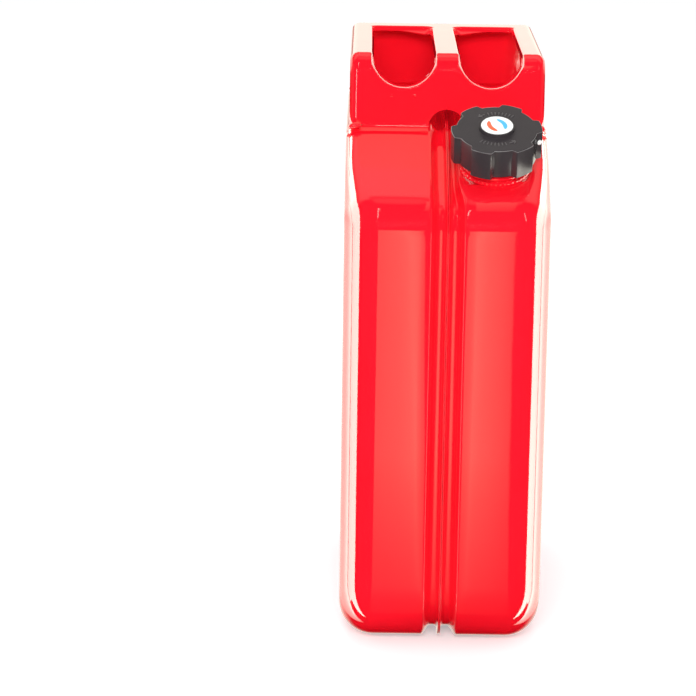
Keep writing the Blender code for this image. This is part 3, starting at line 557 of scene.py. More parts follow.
def channelSqueeze(places):
    # Beside the neck the channel's right wall stands closer to the seam
    offset = (places - neckSeat) @ alongShoulder
    raised = (places - neckSeat) @ offShoulder
    near = 1 - smoothStep(shell["squeezeFlat"], shell["squeezeEnd"], np.abs(offset))
    near = near * (np.abs(raised) < can["cornerRadii"][1] / 2)
    root = shell["flangeGap"] / 2 + can["sheet"] + shell["rootRadius"]
    neckFoot = neckPlace["x"] - neckPlace["radius"] - can["gap"] - neckPlace["weldWidth"]
    return 1 - near * (shell["channelHalf"] - neckFoot) / (shell["channelHalf"] - root)


def halfShell(name, side):
    # Wall: a section of (x, depth under the outline) carried round the outline. It has a quarter round from
    # the broad side, a crowned flat, the channel's dip and the flange. Broad side: rings that shrink from the
    # wall to the middle.
    places, normals, _ = roundedLine(
        outlineCorners, can["cornerRadii"], True, shell["arcStep"], shell["straightStep"]
    )
    blendStart = np.where(places[:, 0] < 0, can["blendFront"], can["blendRear"])
    share = smoothStep(blendStart, can["blendTop"], places[:, 1])
    edge = (can["sideEdge"] + (can["topEdge"] - can["sideEdge"]) * share)[:, None]
    squeeze = (channelSqueeze(places) if side > 0 else np.ones(len(places)))[:, None]

    turn = np.linspace(0, math.pi / 2, 12)[None]
    cornerX, cornerD = halfWidth - edge * (1 - np.cos(turn)), edge * (1 - np.sin(turn))
    flat = np.linspace(0, 1, 6)[None, 1:-1]
    flatX = cornerX[:, -1:] + (shell["channelHalf"] - cornerX[:, -1:]) * flat
    crown = shell["crown"] * (normals[:, 1:] > -0.7)   # none under the base
    flatD = -crown * np.sin(math.pi * flat)
    root = shell["flangeGap"] / 2 + can["sheet"] + shell["rootRadius"]
    dip = np.linspace(0, 1, 13)[None]
    dipX = shell["channelHalf"] + (shell["channelFloor"] - shell["channelHalf"]) * dip
    dipX = root + (dipX - root) * squeeze
    dipD = np.broadcast_to(shell["channelDepth"] * easeRun(dip), dipX.shape)
    bend = np.linspace(0, math.pi / 2, 7)[None]
    bendX = np.broadcast_to(root - shell["rootRadius"] * np.sin(bend), (len(places), bend.size))
    bendD = shell["channelDepth"] - shell["rootRadius"] * (1 - np.cos(bend))
    bendD = np.broadcast_to(bendD, bendX.shape)
    tipX = np.full((len(places), 2), shell["flangeGap"] / 2 + can["sheet"])
    tipD = np.broadcast_to([[shell["tipRow"], shell["setback"]]], tipX.shape)
    x = np.hstack([cornerX, flatX, dipX, bendX, tipX])
    depth = np.hstack([cornerD, flatD, dipD, bendD, tipD])
    across = places[:, None, :] - normals[:, None, :] * depth[..., None]
    wall = np.concatenate([side * x[..., None], across], axis=2)

    middle = places.mean(axis=0)
    shrink = np.linspace(0, 1, shell["sideRings"] + 1)[None, :, None]
    rings = across[:, :1] + (middle - across[:, :1]) * shrink
    spots = rings.reshape(-1, 2)
    sideX = halfWidth - pressing(spots).reshape(rings.shape[:2])
    broad = np.concatenate([side * sideX[..., None], rings], axis=2)

    points, faces = joinGrids([(wall, True, False), (broad, True, False)])
    obj = makePiece(name, points, faces, redPaint, "root", sharpAngle=50)
    thick = obj.modifiers.new("sheet", "SOLIDIFY")
    thick.thickness = can["sheet"]
    thick.offset = -1
    return obj


def makeShells():
    left = halfShell("left_shell_skin", -1)
    right = halfShell("right_shell_skin", 1)
    cutWith(right, roundCutter(neckPlace["radius"] + can["gap"], shell["holeDepth"], neckMatrix))
    for obj, node in ((left, "left_shell"), (right, "right_shell")):
        applyModifiers(obj)
        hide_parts(node)
        print(node, len(obj.data.polygons), "faces")


makeShells()
print("shells made")


# Handle: one stamping with slots between three bars

grip = {
    "margin": 0.0025, "sheet": 0.0015, "rise": 0.055, "frontSetback": 0.107, "rearSetback": 0.014,
    "lean": math.radians(8), "frontBend": 0.016, "rearBend": 0.008, "footBend": 0.003,
    "frontFlange": 0.008, "rearFlange": 0.006, "relief": 0.004, "foldRadius": 0.007, "foldLeg": 0.004,
    "slotFold": 0.0025, "slotLeg": 0.0016, "slotFlare": 0.0008,
    "cornerFlare": 0.0050, "cornerLeg": 0.0020, "cornerReach": 0.030, "middleBar": 0.0196, "sideBar": 0.0185,
    "rearBridge": 0.028, "innerCorner": 0.008, "outerCorner": 0.004, "slotMargin": 0.006,
    "archRadius": 0.0155, "archRise": 0.0150, "tabWrap": math.radians(55),
    "edgeRound": 0.00035, "edgeAngle": math.radians(55), "mirrorMerge": 0.00002,
}
gripTop = can["height"] + grip["rise"]
gripFront, gripRear = front + grip["frontSetback"], rear - grip["rearSetback"]
foldStart = halfWidth - grip["margin"] - grip["foldRadius"]
flangeEnd = foldStart - grip["relief"]
slotInner, slotOuter = grip["middleBar"] / 2, halfWidth - grip["margin"] - grip["sideBar"]


def overBody(y, lift):
    # The place this far off the top of the can at each y, and the outline's normal there
    points, normals, _ = roundedLine(outlineCorners, can["cornerRadii"], True, math.radians(1), 0.01)
    upper = (points[:, 1] > can["height"] / 2) & (normals[:, 1] > 0.1)
    raised = (points + normals * lift)[upper]
    place = np.stack([np.asarray(y, float), np.interp(y, raised[:, 0], raised[:, 1])], axis=-1)
    normal = np.stack([np.interp(y, raised[:, 0], normals[upper][:, i]) for i in (0, 1)], axis=-1)
    return place, unit(normal)


def overEdge(x, y):
    # Height of the can's top above (x, y), on its flat or its rounded edge
    place, normal = overBody(y, 0)
    out = np.clip(x - halfWidth + can["topEdge"], 0, can["topEdge"])
    return place[..., 1] - (can["topEdge"] - np.sqrt(can["topEdge"] ** 2 - out**2)) / normal[..., 1]


def gripLine():
    # The stamping's outer line seen from the side, with the lengths along it where each bend starts and ends
    lift = can["gap"] + grip["sheet"]
    toes = overBody(gripFront - grip["frontFlange"] * np.array([1, 0.8, 0.6, 0.45]), lift)[0]
    heels = overBody(gripRear + grip["rearFlange"] * np.array([0.6, 0.8, 1]), lift)[0]
    frontFoot = overBody(np.array([gripFront]), lift)[0]
    rearFoot = overBody(np.array([gripRear]), lift)[0]
    topY = gripFront + (gripTop - frontFoot[0, 1]) * math.tan(grip["lean"])
    corners = np.vstack([toes, frontFoot, [(topY, gripTop), (gripRear, gripTop)], rearFoot, heels])
    radii = [0] * 4 + [grip["footBend"], grip["frontBend"], grip["rearBend"], grip["footBend"]] + [0] * 3
    points, normals, spans = roundedLine(corners, radii, False, math.radians(1), 0.002)
    running = lengthAlong(points)
    bends = [(running[first], running[last]) for first, last in spans[4:8]]
    return points, normals, running, bends


def slotRings(points, running, bends):
    # A slot's outline as (x, length along the stamping), and for each of its points the point that it meets
    # on the edge of the rectangle of sheet round it. Its front end is a round notch seen from the front.
    middle, radius = (slotInner + slotOuter) / 2, (slotOuter - slotInner) / 2
    bendLow, bendHigh = bends[1]
    rising = running < bendHigh + 1e-7
    lowTurn = math.asin(min((gripTop - np.interp(bendLow, running, points[:, 1])) / radius, 0.95))
    turn = np.linspace(math.pi / 2, lowTurn, 19)
    notch = np.column_stack([
        radius * np.cos(turn), np.interp(gripTop - radius * np.sin(turn), points[rising, 1], running[rising])
    ])
    s = np.linspace(bendLow, bendHigh, 15)[1:]
    below = gripTop - np.interp(s, running, points[:, 1])
    crest = np.column_stack([np.sqrt(np.maximum(radius**2 - below**2, 0)), s])
    end = bends[2][0] + grip["rearBend"] - grip["rearBridge"]
    outer, inner, arcSteps = grip["outerCorner"], grip["innerCorner"], 10
    sideRun = np.linspace(bendHigh, end - outer, 41)[1:-1]
    backRun = np.linspace(bendHigh, end - inner, 41)[1:-1][::-1]
    cornerOut = arc((radius - outer, end - outer), outer, 0, 90, arcSteps)
    cornerIn = arc((inner - radius, end - inner), inner, 90, 180, arcSteps)
    rearRun = np.linspace(cornerOut[-1, 0], cornerIn[0, 0], 14)[1:-1]
    pieces = [
        notch, crest, np.column_stack([np.full_like(sideRun, radius), sideRun]), cornerOut,
        np.column_stack([rearRun, np.full_like(rearRun, end)]), cornerIn,
        np.column_stack([np.full_like(backRun, -radius), backRun]),
        (crest * (-1, 1))[::-1], (notch * (-1, 1))[:0:-1],
    ]
    outline = np.vstack(pieces) + (middle, 0)
    starts = np.cumsum([0] + [len(piece) for piece in pieces])
    low = outline[:, 1].min() - grip["slotFold"] - grip["slotMargin"]
    back = outline[:, 1].max() + grip["slotFold"] + grip["slotMargin"]
    anchors = [   # the outline's point by number, and the place on the rectangle that it meets
        (0, middle, low), (10, foldStart, low), (starts[1] - 1, foldStart, bendLow),
        (starts[2] - 1, foldStart, bendHigh), (starts[3], foldStart, end - outer),
        (starts[3] + arcSteps // 2, foldStart, back), (starts[4] - 1, middle + radius - outer, back),
        (starts[5], middle + inner - radius, back), (starts[5] + arcSteps // 2, 0, back),
        (starts[6] - 1, 0, end - inner), (starts[7], 0, bendHigh), (starts[8], 0, bendLow),
        (starts[9] - 9, 0, low), (starts[9], middle, low),
    ]
    index, x, s = zip(*anchors)
    steps = np.arange(len(outline))
    field = np.column_stack([np.interp(steps, index, x), np.interp(steps, index, s)])
    return outline, field, low, back


def lineNormals(points):
    # Left normals of a closed line, from the mean of the headings on both sides
    heading = unit(np.roll(points, -1, axis=0) - np.roll(points, 1, axis=0))
    return leftOf(heading)


def makeHandle():
    # The slot's lip and web, the plain sheet before and behind it, the folded edge, the feet and their tabs
    # are grids of (x, length, depth) on the stamping's line. One half is made, then mirrored and thickened.
    points, normals, running, bends = gripLine()
    outline, field, low, back = slotRings(points, running, bends)
    plateStart, plateEnd = bends[0][1], bends[3][0]

    def sheetAt(x, s, depth):
        # A point of the stamping: its place along the line, less its depth along the line's normal
        x, s, depth = np.broadcast_arrays(x, s, depth)
        place = np.stack([np.interp(s, running, points[:, i]) for i in (0, 1)], axis=-1)
        facing = unit(np.stack([np.interp(s, running, normals[:, i]) for i in (0, 1)], axis=-1))
        return np.concatenate([x[..., None], place - facing * depth[..., None]], axis=-1)

    outward = -lineNormals(outline)
    quarter = np.linspace(0, math.pi / 2, 7)
    rimReach = -grip["slotFlare"] * np.array([1, 0.5])
    rimReach = np.concatenate([rimReach, grip["slotFold"] * (1 - np.cos(quarter))])
    rimDepth = grip["slotFold"] + grip["slotLeg"] * np.array([1, 0.5])
    rimDepth = np.concatenate([rimDepth, grip["slotFold"] * (1 - np.sin(quarter))])
    # The lip widens and deepens towards the slot's rear inner corner
    away = np.linalg.norm(outline - (slotInner, outline[:, 1].max()), axis=1)
    nearCorner = 1 - smoothStep(0, grip["cornerReach"], away)
    share = np.concatenate([[1, 0.5], np.zeros(len(quarter))])[:, None]
    rimReach = rimReach[:, None] - grip["cornerFlare"] * nearCorner * share
    rimDepth = rimDepth[:, None] + grip["cornerLeg"] * nearCorner * share
    lip = outline[None] + outward[None] * rimReach[..., None]
    shares = np.linspace(0, 1, 9)[1:, None, None]
    web = lip[-1:] + (field[None] - lip[-1:]) * shares
    rings = np.vstack([lip, web])
    depths = np.vstack([rimDepth, np.zeros((len(web), len(outline)))])
    slotGrid = sheetAt(rings[..., 0], rings[..., 1], depths)

    def across(lengths, columns):
        # Below the plates the sheet draws in over half a bend, so that it clears their folded edges
        beyond = np.maximum(plateStart - lengths, lengths - plateEnd) / (bends[0][1] - bends[0][0]) * 2
        share = (1 - (1 - flangeEnd / foldStart) * np.clip(beyond, 0, 1))[:, None]
        return sheetAt(columns[None] * share, lengths[:, None], 0.0)

    def nearRow(row):
        return np.unique(np.round(field[np.abs(field[:, 1] - row) < 1e-9, 0], 8))

    def within(start, end):
        kept = running[(running > start + 1e-9) & (running < end - 1e-9)]
        return np.concatenate([[start], kept, [end]])

    frontRows, rearRows = within(0, low), within(back, running[-1])
    foldTurn = np.concatenate([np.linspace(0, math.pi / 2, 9), [math.pi / 2] * 3])
    foldX = foldStart + grip["foldRadius"] * np.sin(foldTurn)
    foldDepth = grip["foldRadius"] * (1 - np.cos(foldTurn))
    foldDepth[-3:] += grip["foldLeg"] * np.array([1, 2, 3]) / 3
    sideRows = field[np.abs(field[:, 0] - foldStart) < 1e-9, 1]
    foldRows = np.unique(np.round(np.concatenate([frontRows, sideRows, rearRows]), 8))
    foldRows = foldRows[(foldRows > plateStart - 1e-7) & (foldRows < plateEnd + 1e-7)]
    foldGrid = sheetAt(foldX[None], foldRows[:, None], foldDepth[None])
    # Inside the tight rear bend the folded edge meets itself in a mitre
    foldGrid[..., 1] = np.minimum(foldGrid[..., 1], gripRear - foldDepth)
    foldGrid[..., 2] = np.minimum(foldGrid[..., 2], gripTop - foldDepth)

    grids = [(slotGrid, False, True), (across(frontRows, nearRow(low)), False, False)]
    grids += [(across(rearRows, nearRow(back)), False, False), (foldGrid, False, False)]
    for end in (plateStart, plateEnd):
        rim = sheetAt(foldX, np.full(len(foldX), end), foldDepth)
        facingY = np.interp(end, running, normals[:, 0])
        innerX = foldX - grip["sheet"] * np.sin(foldTurn)
        innerY = rim[:, 1] - grip["sheet"] * np.cos(foldTurn) * facingY
        foot = rim.copy()
        foot[:, 2] = np.maximum(overEdge(foldX, rim[:, 1]), overEdge(innerX, innerY)) + can["gap"]
        grids.append((rim + (foot - rim) * np.linspace(0, 1, 4)[:, None, None], False, False))

    root, radius = halfWidth - can["topEdge"], can["topEdge"] + can["gap"] + grip["sheet"]
    wrap = np.linspace(0, grip["tabWrap"], 9)
    tabX = np.concatenate([[flangeEnd], root + radius * np.sin(wrap)])
    tabDepth = np.concatenate([[0], radius * (1 - np.cos(wrap))])
    for rows in (within(0, bends[0][0]), within(bends[3][1], running[-1])):
        grids.append((sheetAt(tabX[None], rows[:, None], tabDepth[None]), False, False))

    allPoints, faces = joinGrids(grids)
    obj = makePiece("handle_stamping", allPoints, faces, redPaint, "root", merge=2e-6, sharpAngle=60)
    mirror = obj.modifiers.new("other side", "MIRROR")
    mirror.merge_threshold = grip["mirrorMerge"]
    thick = obj.modifiers.new("sheet", "SOLIDIFY")
    thick.thickness = grip["sheet"]
    thick.offset = -1
    thick.use_even_offset = True
    applyModifiers(obj)
    for y in (gripFront, gripRear):
        height = overBody(np.array([y]), 0)[0][0, 1] + grip["archRise"] - grip["archRadius"]
        matrix = Matrix.Translation((0, y, height)) @ Matrix.Rotation(math.pi / 2, 4, "X")
        cutWith(obj, roundCutter(grip["archRadius"], 4 * grip["frontFlange"], matrix))
    rounding = obj.modifiers.new("rounded edges", "BEVEL")
    rounding.width = grip["edgeRound"]
    rounding.segments = 2
    rounding.limit_method = "ANGLE"
    rounding.angle_limit = grip["edgeAngle"]
    applyModifiers(obj)
    obj.data.shade_smooth()
    obj.data.set_sharp_from_angle(angle=math.radians(50))
    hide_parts("handle")
    print("handle", len(obj.data.polygons), "faces")


makeHandle()
print("handle made")


spatter = {   # on the front plate, as (across, height, radius)
    "drops": [(-0.0453, 0.4416, 0.0011), (-0.0265, 0.4418, 0.0013), (-0.0006, 0.4325, 0.0008)],
    "rise": 0.40, "sunk": 0.0001,
}


def makeSpatter():
    # Drops of weld spatter under the paint: domes, radius r cos a and height 0.4 r sin a, square to the plate
    slope = grip["lean"]
    domes = []
    upPlate = np.array([0, math.sin(slope), math.cos(slope)])
    offPlate = np.array([0, -math.cos(slope), math.sin(slope)])
    foot = can["height"] + can["gap"] + grip["sheet"]
    for x, z, radius in spatter["drops"]:
        dome = arc((0, 0), radius, 0, 90, 8) * (1, spatter["rise"])
        profile = np.vstack([[(0, -spatter["sunk"]), (radius, -spatter["sunk"])], dome])
        local = turnedGrid(profile, 32)
        place = np.array([x, gripFront + (z - foot) * math.tan(slope), z])
        grid = place + local[..., :1] * (1, 0, 0) + local[..., 1:2] * upPlate + local[..., 2:] * offPlate
        domes.append((grid, False, True))
    points, faces = joinGrids(domes)
    makePiece("plate_spatter", points, faces, redPaint, "root")


makeSpatter()


# Weld beads

bead = {
    "halfHeight": 0.0021, "halfLength": 0.0030, "start": math.radians(88), "end": math.radians(62),
    "ripples": 9, "rippleDepth": 0.07, "rippleStart": 0.6, "endPower": 3.2,
}


def makeHandleWeld(node, side, y, outward):
    # A flattened tube along an arc over the flange's tab, closed at both ends and rippled:
    # r = r0 sqrt(1 - |t|^k) (1 + a |sin(nt + b)| - a)
    foot, normal = overBody(np.array([y + outward * (can["gap"] + bead["halfLength"])]), 0)
    foot, normal = foot[0], normal[0]
    root = np.array([halfWidth - can["topEdge"], *(foot - normal * can["topEdge"])])
    lengthwise = np.array([0, normal[1], -normal[0]])
    reach = can["topEdge"] + grip["sheet"] + 2 * can["gap"] + bead["halfHeight"]
    share = np.sin(np.linspace(-math.pi / 2, math.pi / 2, 42))[:, None]
    capTurn = bead["halfHeight"] / reach
    middle, half = (bead["start"] + bead["end"]) / 2, (bead["start"] - bead["end"]) / 2 + capTurn
    angle = middle + half * share
    ripple = np.abs(np.sin(bead["ripples"] * share + bead["rippleStart"]))
    swell = np.sqrt(np.maximum(1 - np.abs(share) ** bead["endPower"], 0))
    swell = swell * (1 + bead["rippleDepth"] * ripple - bead["rippleDepth"])
    around = np.linspace(0, 2 * math.pi, 36, endpoint=False)[None]
    rise = reach + bead["halfHeight"] * swell * np.cos(around)
    width = bead["halfLength"] * swell * np.sin(around)
    out = np.stack([np.cos(angle), normal[0] * np.sin(angle), normal[1] * np.sin(angle)], axis=-1)
    grid = root + out * rise[..., None] + lengthwise * width[..., None]
    grid = grid * (side, 1, 1)
    points, faces = joinGrids([(grid, False, True)])
    makePiece(
        node + "_bead", points, faces, weldPaint, "root", [node], merge=2e-6, sharpAngle=70
    )


for end, y, outward in (("front", gripFront, -1), ("rear", gripRear, 1)):
    for word, side in (("left", -1), ("right", 1)):
        makeHandleWeld(f"handle_weld_{end}_{word}", side, y, outward)

neckWeld = {
    "height": 0.0030, "ripples": 42, "rippleDepth": 0.22, "waves": 7, "waveDepth": 0.05, "draw": 0.20,
    "steps": 552,
}


def makeNeckWeld():
    # A quarter round turned about the neck. Its skin is scaled by 1 + a |sin nt/2| + b sin mt - c.
    inner = neckPlace["radius"] + can["gap"]
    turn = np.linspace(0, math.pi / 2, 9)
    bulge = np.column_stack([
        inner + neckPlace["weldWidth"] * np.cos(turn), can["gap"] + neckWeld["height"] * np.sin(turn)
    ])
    profile = np.vstack([[(inner, can["gap"])], bulge])

    def ripple(radius, height, angle):
        fine = neckWeld["rippleDepth"] * np.abs(np.sin(neckWeld["ripples"] / 2 * angle))
        scale = 1 + fine + neckWeld["waveDepth"] * np.sin(neckWeld["waves"] * angle + 1) - neckWeld["draw"]
        return inner + (radius - inner) * scale, can["gap"] + (height - can["gap"]) * scale

    grid = onNeck(turnedGrid(profile, neckWeld["steps"], ripple))
    points, faces = joinGrids([(grid, True, True)])
    makePiece("neck_weld_bead", points, faces, weldPaint, "root", ["neck_weld"], sharpAngle=60)


makeNeckWeld()
print("welds made")


# Neck and cap

neck = {
    "spigot": 0.0060, "beadReach": 0.0018, "beadLow": 0.0042, "beadHigh": 0.0080,
    "threadPitch": 0.004, "threadHeight": 0.00032, "threadLow": 0.0105, "threadHigh": 0.0265,
    "threadFade": 0.001, "plainFoot": 0.0004, "plainTop": 0.0002, "threadRows": 58, "steps": 168,
}


def makeNeck():
    # A turned tube with a rolled collar, and a round-crested thread that climbs one pitch a turn
    radius, bore = neckPlace["radius"], neckPlace["bore"]
    middle, half = (neck["beadLow"] + neck["beadHigh"]) / 2, (neck["beadHigh"] - neck["beadLow"]) / 2
    turn = np.radians(np.linspace(-90, 90, 13))
    collar = np.column_stack([radius + neck["beadReach"] * np.cos(turn), middle + half * np.sin(turn)])
    rim = (radius - bore) / 3
    threadLow, threadHigh = neck["beadHigh"] + neck["plainFoot"], neckPlace["height"] - rim - neck["plainTop"]
    threadRows = np.linspace(threadLow, threadHigh, neck["threadRows"])
    profile = np.vstack([
        [(bore, -neck["spigot"]), (radius, -neck["spigot"]), (radius, 0)], collar,
        np.column_stack([np.full_like(threadRows, radius), threadRows]),
        arc((radius - rim, neckPlace["height"] - rim), rim, 0, 90, 6),
        arc((bore + rim, neckPlace["height"] - rim), rim, 90, 180, 6),
    ])

    def thread(radii, heights, angle):
        low, high = neck["beadHigh"] + neck["plainFoot"] / 2, neckPlace["height"] - rim
        inThread = (heights > low) & (heights < high)
        onOuter = inThread & (np.abs(radii - radius) < 1e-6)
        phase = (heights - neck["threadPitch"] * angle / (2 * math.pi)) / neck["threadPitch"]
        crest = np.maximum(np.cos(2 * math.pi * phase), 0) ** 1.5
        ends = smoothStep(neck["threadLow"] - neck["threadFade"], neck["threadLow"], heights)
        ends = ends * (1 - smoothStep(neck["threadHigh"] - neck["threadFade"], neck["threadHigh"], heights))
        return radii + onOuter * neck["threadHeight"] * crest * ends, heights

    grid = onNeck(turnedGrid(profile, neck["steps"], thread))
    points, faces = joinGrids([(grid, True, True)])
    makePiece("neck_tube", points, faces, redPaint, "root", ["neck"], sharpAngle=50)


makeNeck()

cap = {
    "height": 0.0247, "radius": 0.0364, "recess": 0.0323, "lobes": 6, "lobeAngle": math.radians(26),
    "turn": math.radians(8), "flank": math.radians(4.5), "flankRound": 0.35, "flankOverrun": 0.12,
    "wall": 0.0020, "top": 0.0025, "edge": 0.0009, "footRound": 0.0004,
    "bossRadius": 0.0143, "bossHeight": 0.0036, "bossRound": 0.0006, "seatRound": 0.0002,
    "badgeRadius": 0.0128, "badgeThickness": 0.0016, "badgeRecess": 0.0015, "badgeRound": 0.00035,
    "gasketThickness": 0.0026, "gasketWidth": 0.0036, "linerClearance": 0.0005, "linerWall": 0.0022,
    "linerTop": 0.0015, "linerFoot": 0.0012, "linerChamfer": 0.0008, "steps": 120,
}
linerTop = cap["height"] - cap["top"] - can["gap"]
linerCeiling = linerTop - cap["linerTop"]
gasketTop = linerCeiling - can["gap"]
gasketLow = gasketTop - cap["gasketThickness"]
capLift = neckPlace["height"] + can["gap"] - gasketLow


def capOutline():
    # Raised lobes: the radius climbs from the recess to the lobe over each flank, as a straight ramp mixed
    # with a level-ended one (3t^2 - 2t^3) that runs over both ends
    pitch = 2 * math.pi / cap["lobes"]
    half, flank, mixed, over = cap["lobeAngle"] / 2, cap["flank"], cap["flankRound"], cap["flankOverrun"]
    foot = half + flank
    flankSteps = np.linspace(half - mixed * flank, foot + mixed * flank, 15)
    crestSteps = np.linspace(-0.85, 0.85, 9) * flankSteps[0]
    gapSteps = np.linspace(flankSteps[-1], pitch - flankSteps[-1], 9)[1:-1]
    local = np.concatenate([-flankSteps[::-1], crestSteps, flankSteps, gapSteps])
    angle = (cap["turn"] + pitch * np.arange(cap["lobes"])[:, None] + local[None]).ravel()
    away = np.abs((angle - cap["turn"] + pitch / 2) % pitch - pitch / 2)
    climb = (foot - away) / flank
    rise = mixed * smoothStep(-over, 1 + over, climb) + (1 - mixed) * np.clip(climb, 0, 1)
    return cap["recess"] + (cap["radius"] - cap["recess"]) * rise, angle


def onCap(points):
    return onNeck(points + np.array([0, 0, capLift]))


def makeCapShell():
    # Rings of the lobed outline from under the top, down inside the skirt, up outside and over to the boss
    full, angle = capOutline()
    hollow = full - cap["wall"]
    edge, height = cap["edge"], cap["height"]
    footRound, bossRound, seatRound = cap["footRound"], cap["bossRound"], cap["seatRound"]
    bossTop = height + cap["bossHeight"]
    floor = bossTop - cap["badgeRecess"] - can["gap"]
    turn = np.linspace(0, math.pi / 2, 6)
    radii = [np.zeros_like(full), hollow * 0.5, hollow, hollow, hollow + footRound]
    heights = [height - cap["top"], height - cap["top"], height - cap["top"], footRound, 0.0]
    radii += [full - footRound, full, full]
    heights += [0.0, footRound, (height - edge) * 0.5]
    radii += [full - edge * (1 - math.cos(a)) for a in turn]
    heights += [height - edge * (1 - math.sin(a)) for a in turn]
    inner = cap["bossRadius"] + bossRound
    for share in np.linspace(0, 1, 9)[1:]:
        radii.append(full - edge + (inner - full + edge) * share)
        heights.append(height)
    for a in np.linspace(0, math.pi / 2, 4)[1:]:
        radii.append(np.full_like(full, cap["bossRadius"] + bossRound * (1 - math.sin(a))))
        heights.append(height + bossRound * (1 - math.cos(a)))
    for a in np.linspace(0, math.pi / 2, 5):
        radii.append(np.full_like(full, cap["bossRadius"] - bossRound * (1 - math.cos(a))))
        heights.append(bossTop - bossRound * (1 - math.sin(a)))
    seat = cap["badgeRadius"] + can["gap"]
    radii += [np.full_like(full, radius) for radius in (seat + seatRound, seat, seat, seat * 0.5, 0)]
    heights += [bossTop, bossTop - seatRound, floor, floor, floor]
    radii, heights = np.array(radii), np.array(heights)[:, None]
    grid = np.stack([radii * np.cos(angle), radii * np.sin(angle), heights + 0 * radii], axis=-1)
    points, faces = joinGrids([(onCap(grid), False, True)])
    makePiece(
        "cap_grip", points, faces, plastic["charcoal cap"], "cap", ["cap_shell"], sharpAngle=38
    )


makeCapShell()


def makeCapInside():
    # The liner is a cup and the gasket a flat ring, both turned about the neck's axis
    inner = neckPlace["radius"] + cap["linerClearance"]
    outer, chamfer = inner + cap["linerWall"], cap["linerChamfer"]
    liner = [
        (0, linerCeiling), (inner, linerCeiling), (inner, cap["linerFoot"] + chamfer),
        (inner + chamfer, cap["linerFoot"]), (outer, cap["linerFoot"]), (outer, linerTop - chamfer),
        (outer - chamfer, linerTop), (0, linerTop),
    ]
    points, faces = joinGrids([(onCap(turnedGrid(liner, cap["steps"])), False, True)])
    makePiece("cap_liner_cup", points, faces, plastic["liner plastic"], "cap", ["cap_liner"])
    outer = inner - can["gap"]
    bore = outer - cap["gasketWidth"]
    ring = [(bore, gasketLow), (outer, gasketLow), (outer, gasketTop), (bore, gasketTop)]
    points, faces = joinGrids([(onCap(turnedGrid(ring, cap["steps"])), True, True)])
    makePiece(
        "cap_gasket_ring", points, faces, plastic["gasket rubber"], "gasket", ["cap_gasket"]
    )


makeCapInside()


def makeBadge():
    # A disc with a rounded rim, turned about the neck's axis
    low = cap["height"] + cap["bossHeight"] - cap["badgeRecess"]
    high = low + cap["badgeThickness"]
    rounding = cap["badgeRound"]
    profile = np.vstack([
        [(0, low), (cap["badgeRadius"], low)],
        arc((cap["badgeRadius"] - rounding, high - rounding), rounding, 0, 90, 5),
        [(cap["badgeRadius"] * 0.5, high), (0, high)],
    ])
    points, faces = joinGrids([(onCap(turnedGrid(profile, cap["steps"])), False, True)])
    makePiece("cap_badge_disc", points, faces, plastic["white badge"], "cap", ["cap_badge"])
    return high


badgeTop = makeBadge()

stripe = {
    "width": 0.0037, "reach": 0.0080, "lift": 0.00006, "depth": 0.00005, "offset": 0.0036, "bow": 0.0024,
    "spin": math.radians(24),
}


def makeStripe(name, material, side):
    # A bowed stripe: x = side (offset + bow cos(pi t / 2) + width v taper), y = reach t, taper = 1 - t^6
    t = np.linspace(-1, 1, 33)[:, None]
    v = np.linspace(-0.5, 0.5, 5)[None]
    taper = np.maximum(1 - np.abs(t) ** 6, 0.05)
    x = side * (stripe["offset"] + stripe["bow"] * np.cos(math.pi * t / 2) + stripe["width"] * v * taper)
    y = stripe["reach"] * t + 0 * v
    c, s = math.cos(stripe["spin"]), math.sin(stripe["spin"])
    base = np.stack([c * x - s * y, s * x + c * y, np.full_like(x, badgeTop)], axis=-1)
    top, low = base + (0, 0, stripe["lift"]), base - (0, 0, stripe["depth"])
    rims = [np.concatenate([g[:, 0], g[-1, 1:-1], g[::-1, -1], g[0, -2:0:-1]]) for g in (top, low)]
    grids = [(onCap(top), False, False), (onCap(low), False, False), (onCap(np.stack(rims)), False, True)]
    points, faces = joinGrids(grids)
    makePiece(name, points, faces, material, "cap", merge=1e-7)


makeStripe("badge_stripe_orange", plastic["orange ink"], -1)
makeStripe("badge_stripe_blue", plastic["blue ink"], 1)

marks = {
    "height": 0.00055, "sunk": 0.0002, "circle": 0.0222, "ribs": 8, "ribPitch": math.radians(7.4),
    "ribHalf": (0.0021, 0.00052), "shaftHalf": (0.0030, 0.00056), "headHalf": (0.0017, 0.00052),
    "headTurn": math.radians(38), "square": 4, "rowShift": 0.16,
}


def raisedBars(bars):
    # Bars with rounded outlines |p/L|^4 + |q/W|^4 = 1, each turned by its own angle and bent round the circle
    place, radius, length, width, turn = (np.array(column)[:, None, None] for column in zip(*bars))
    share = np.array([0, 1, 1, 0.80, 0])[None, :, None]
    sunk, full = -marks["sunk"], marks["height"]
    height = np.array([sunk, sunk, 0.5 * full, full, full])
    around = np.linspace(0, 2 * math.pi, 24, endpoint=False)[None, None]
    power = 2 / marks["square"]
    p = length * share * np.sign(np.cos(around)) * np.abs(np.cos(around)) ** power
    q = width * share * np.sign(np.sin(around)) * np.abs(np.sin(around)) ** power
    along, out = p * np.cos(turn) - q * np.sin(turn), p * np.sin(turn) + q * np.cos(turn)
    angle, reach = place + along / radius, radius + out
    level = np.broadcast_to(cap["height"] + height[None, :, None], angle.shape)
    return np.stack([reach * np.cos(angle), reach * np.sin(angle), level], axis=-1)


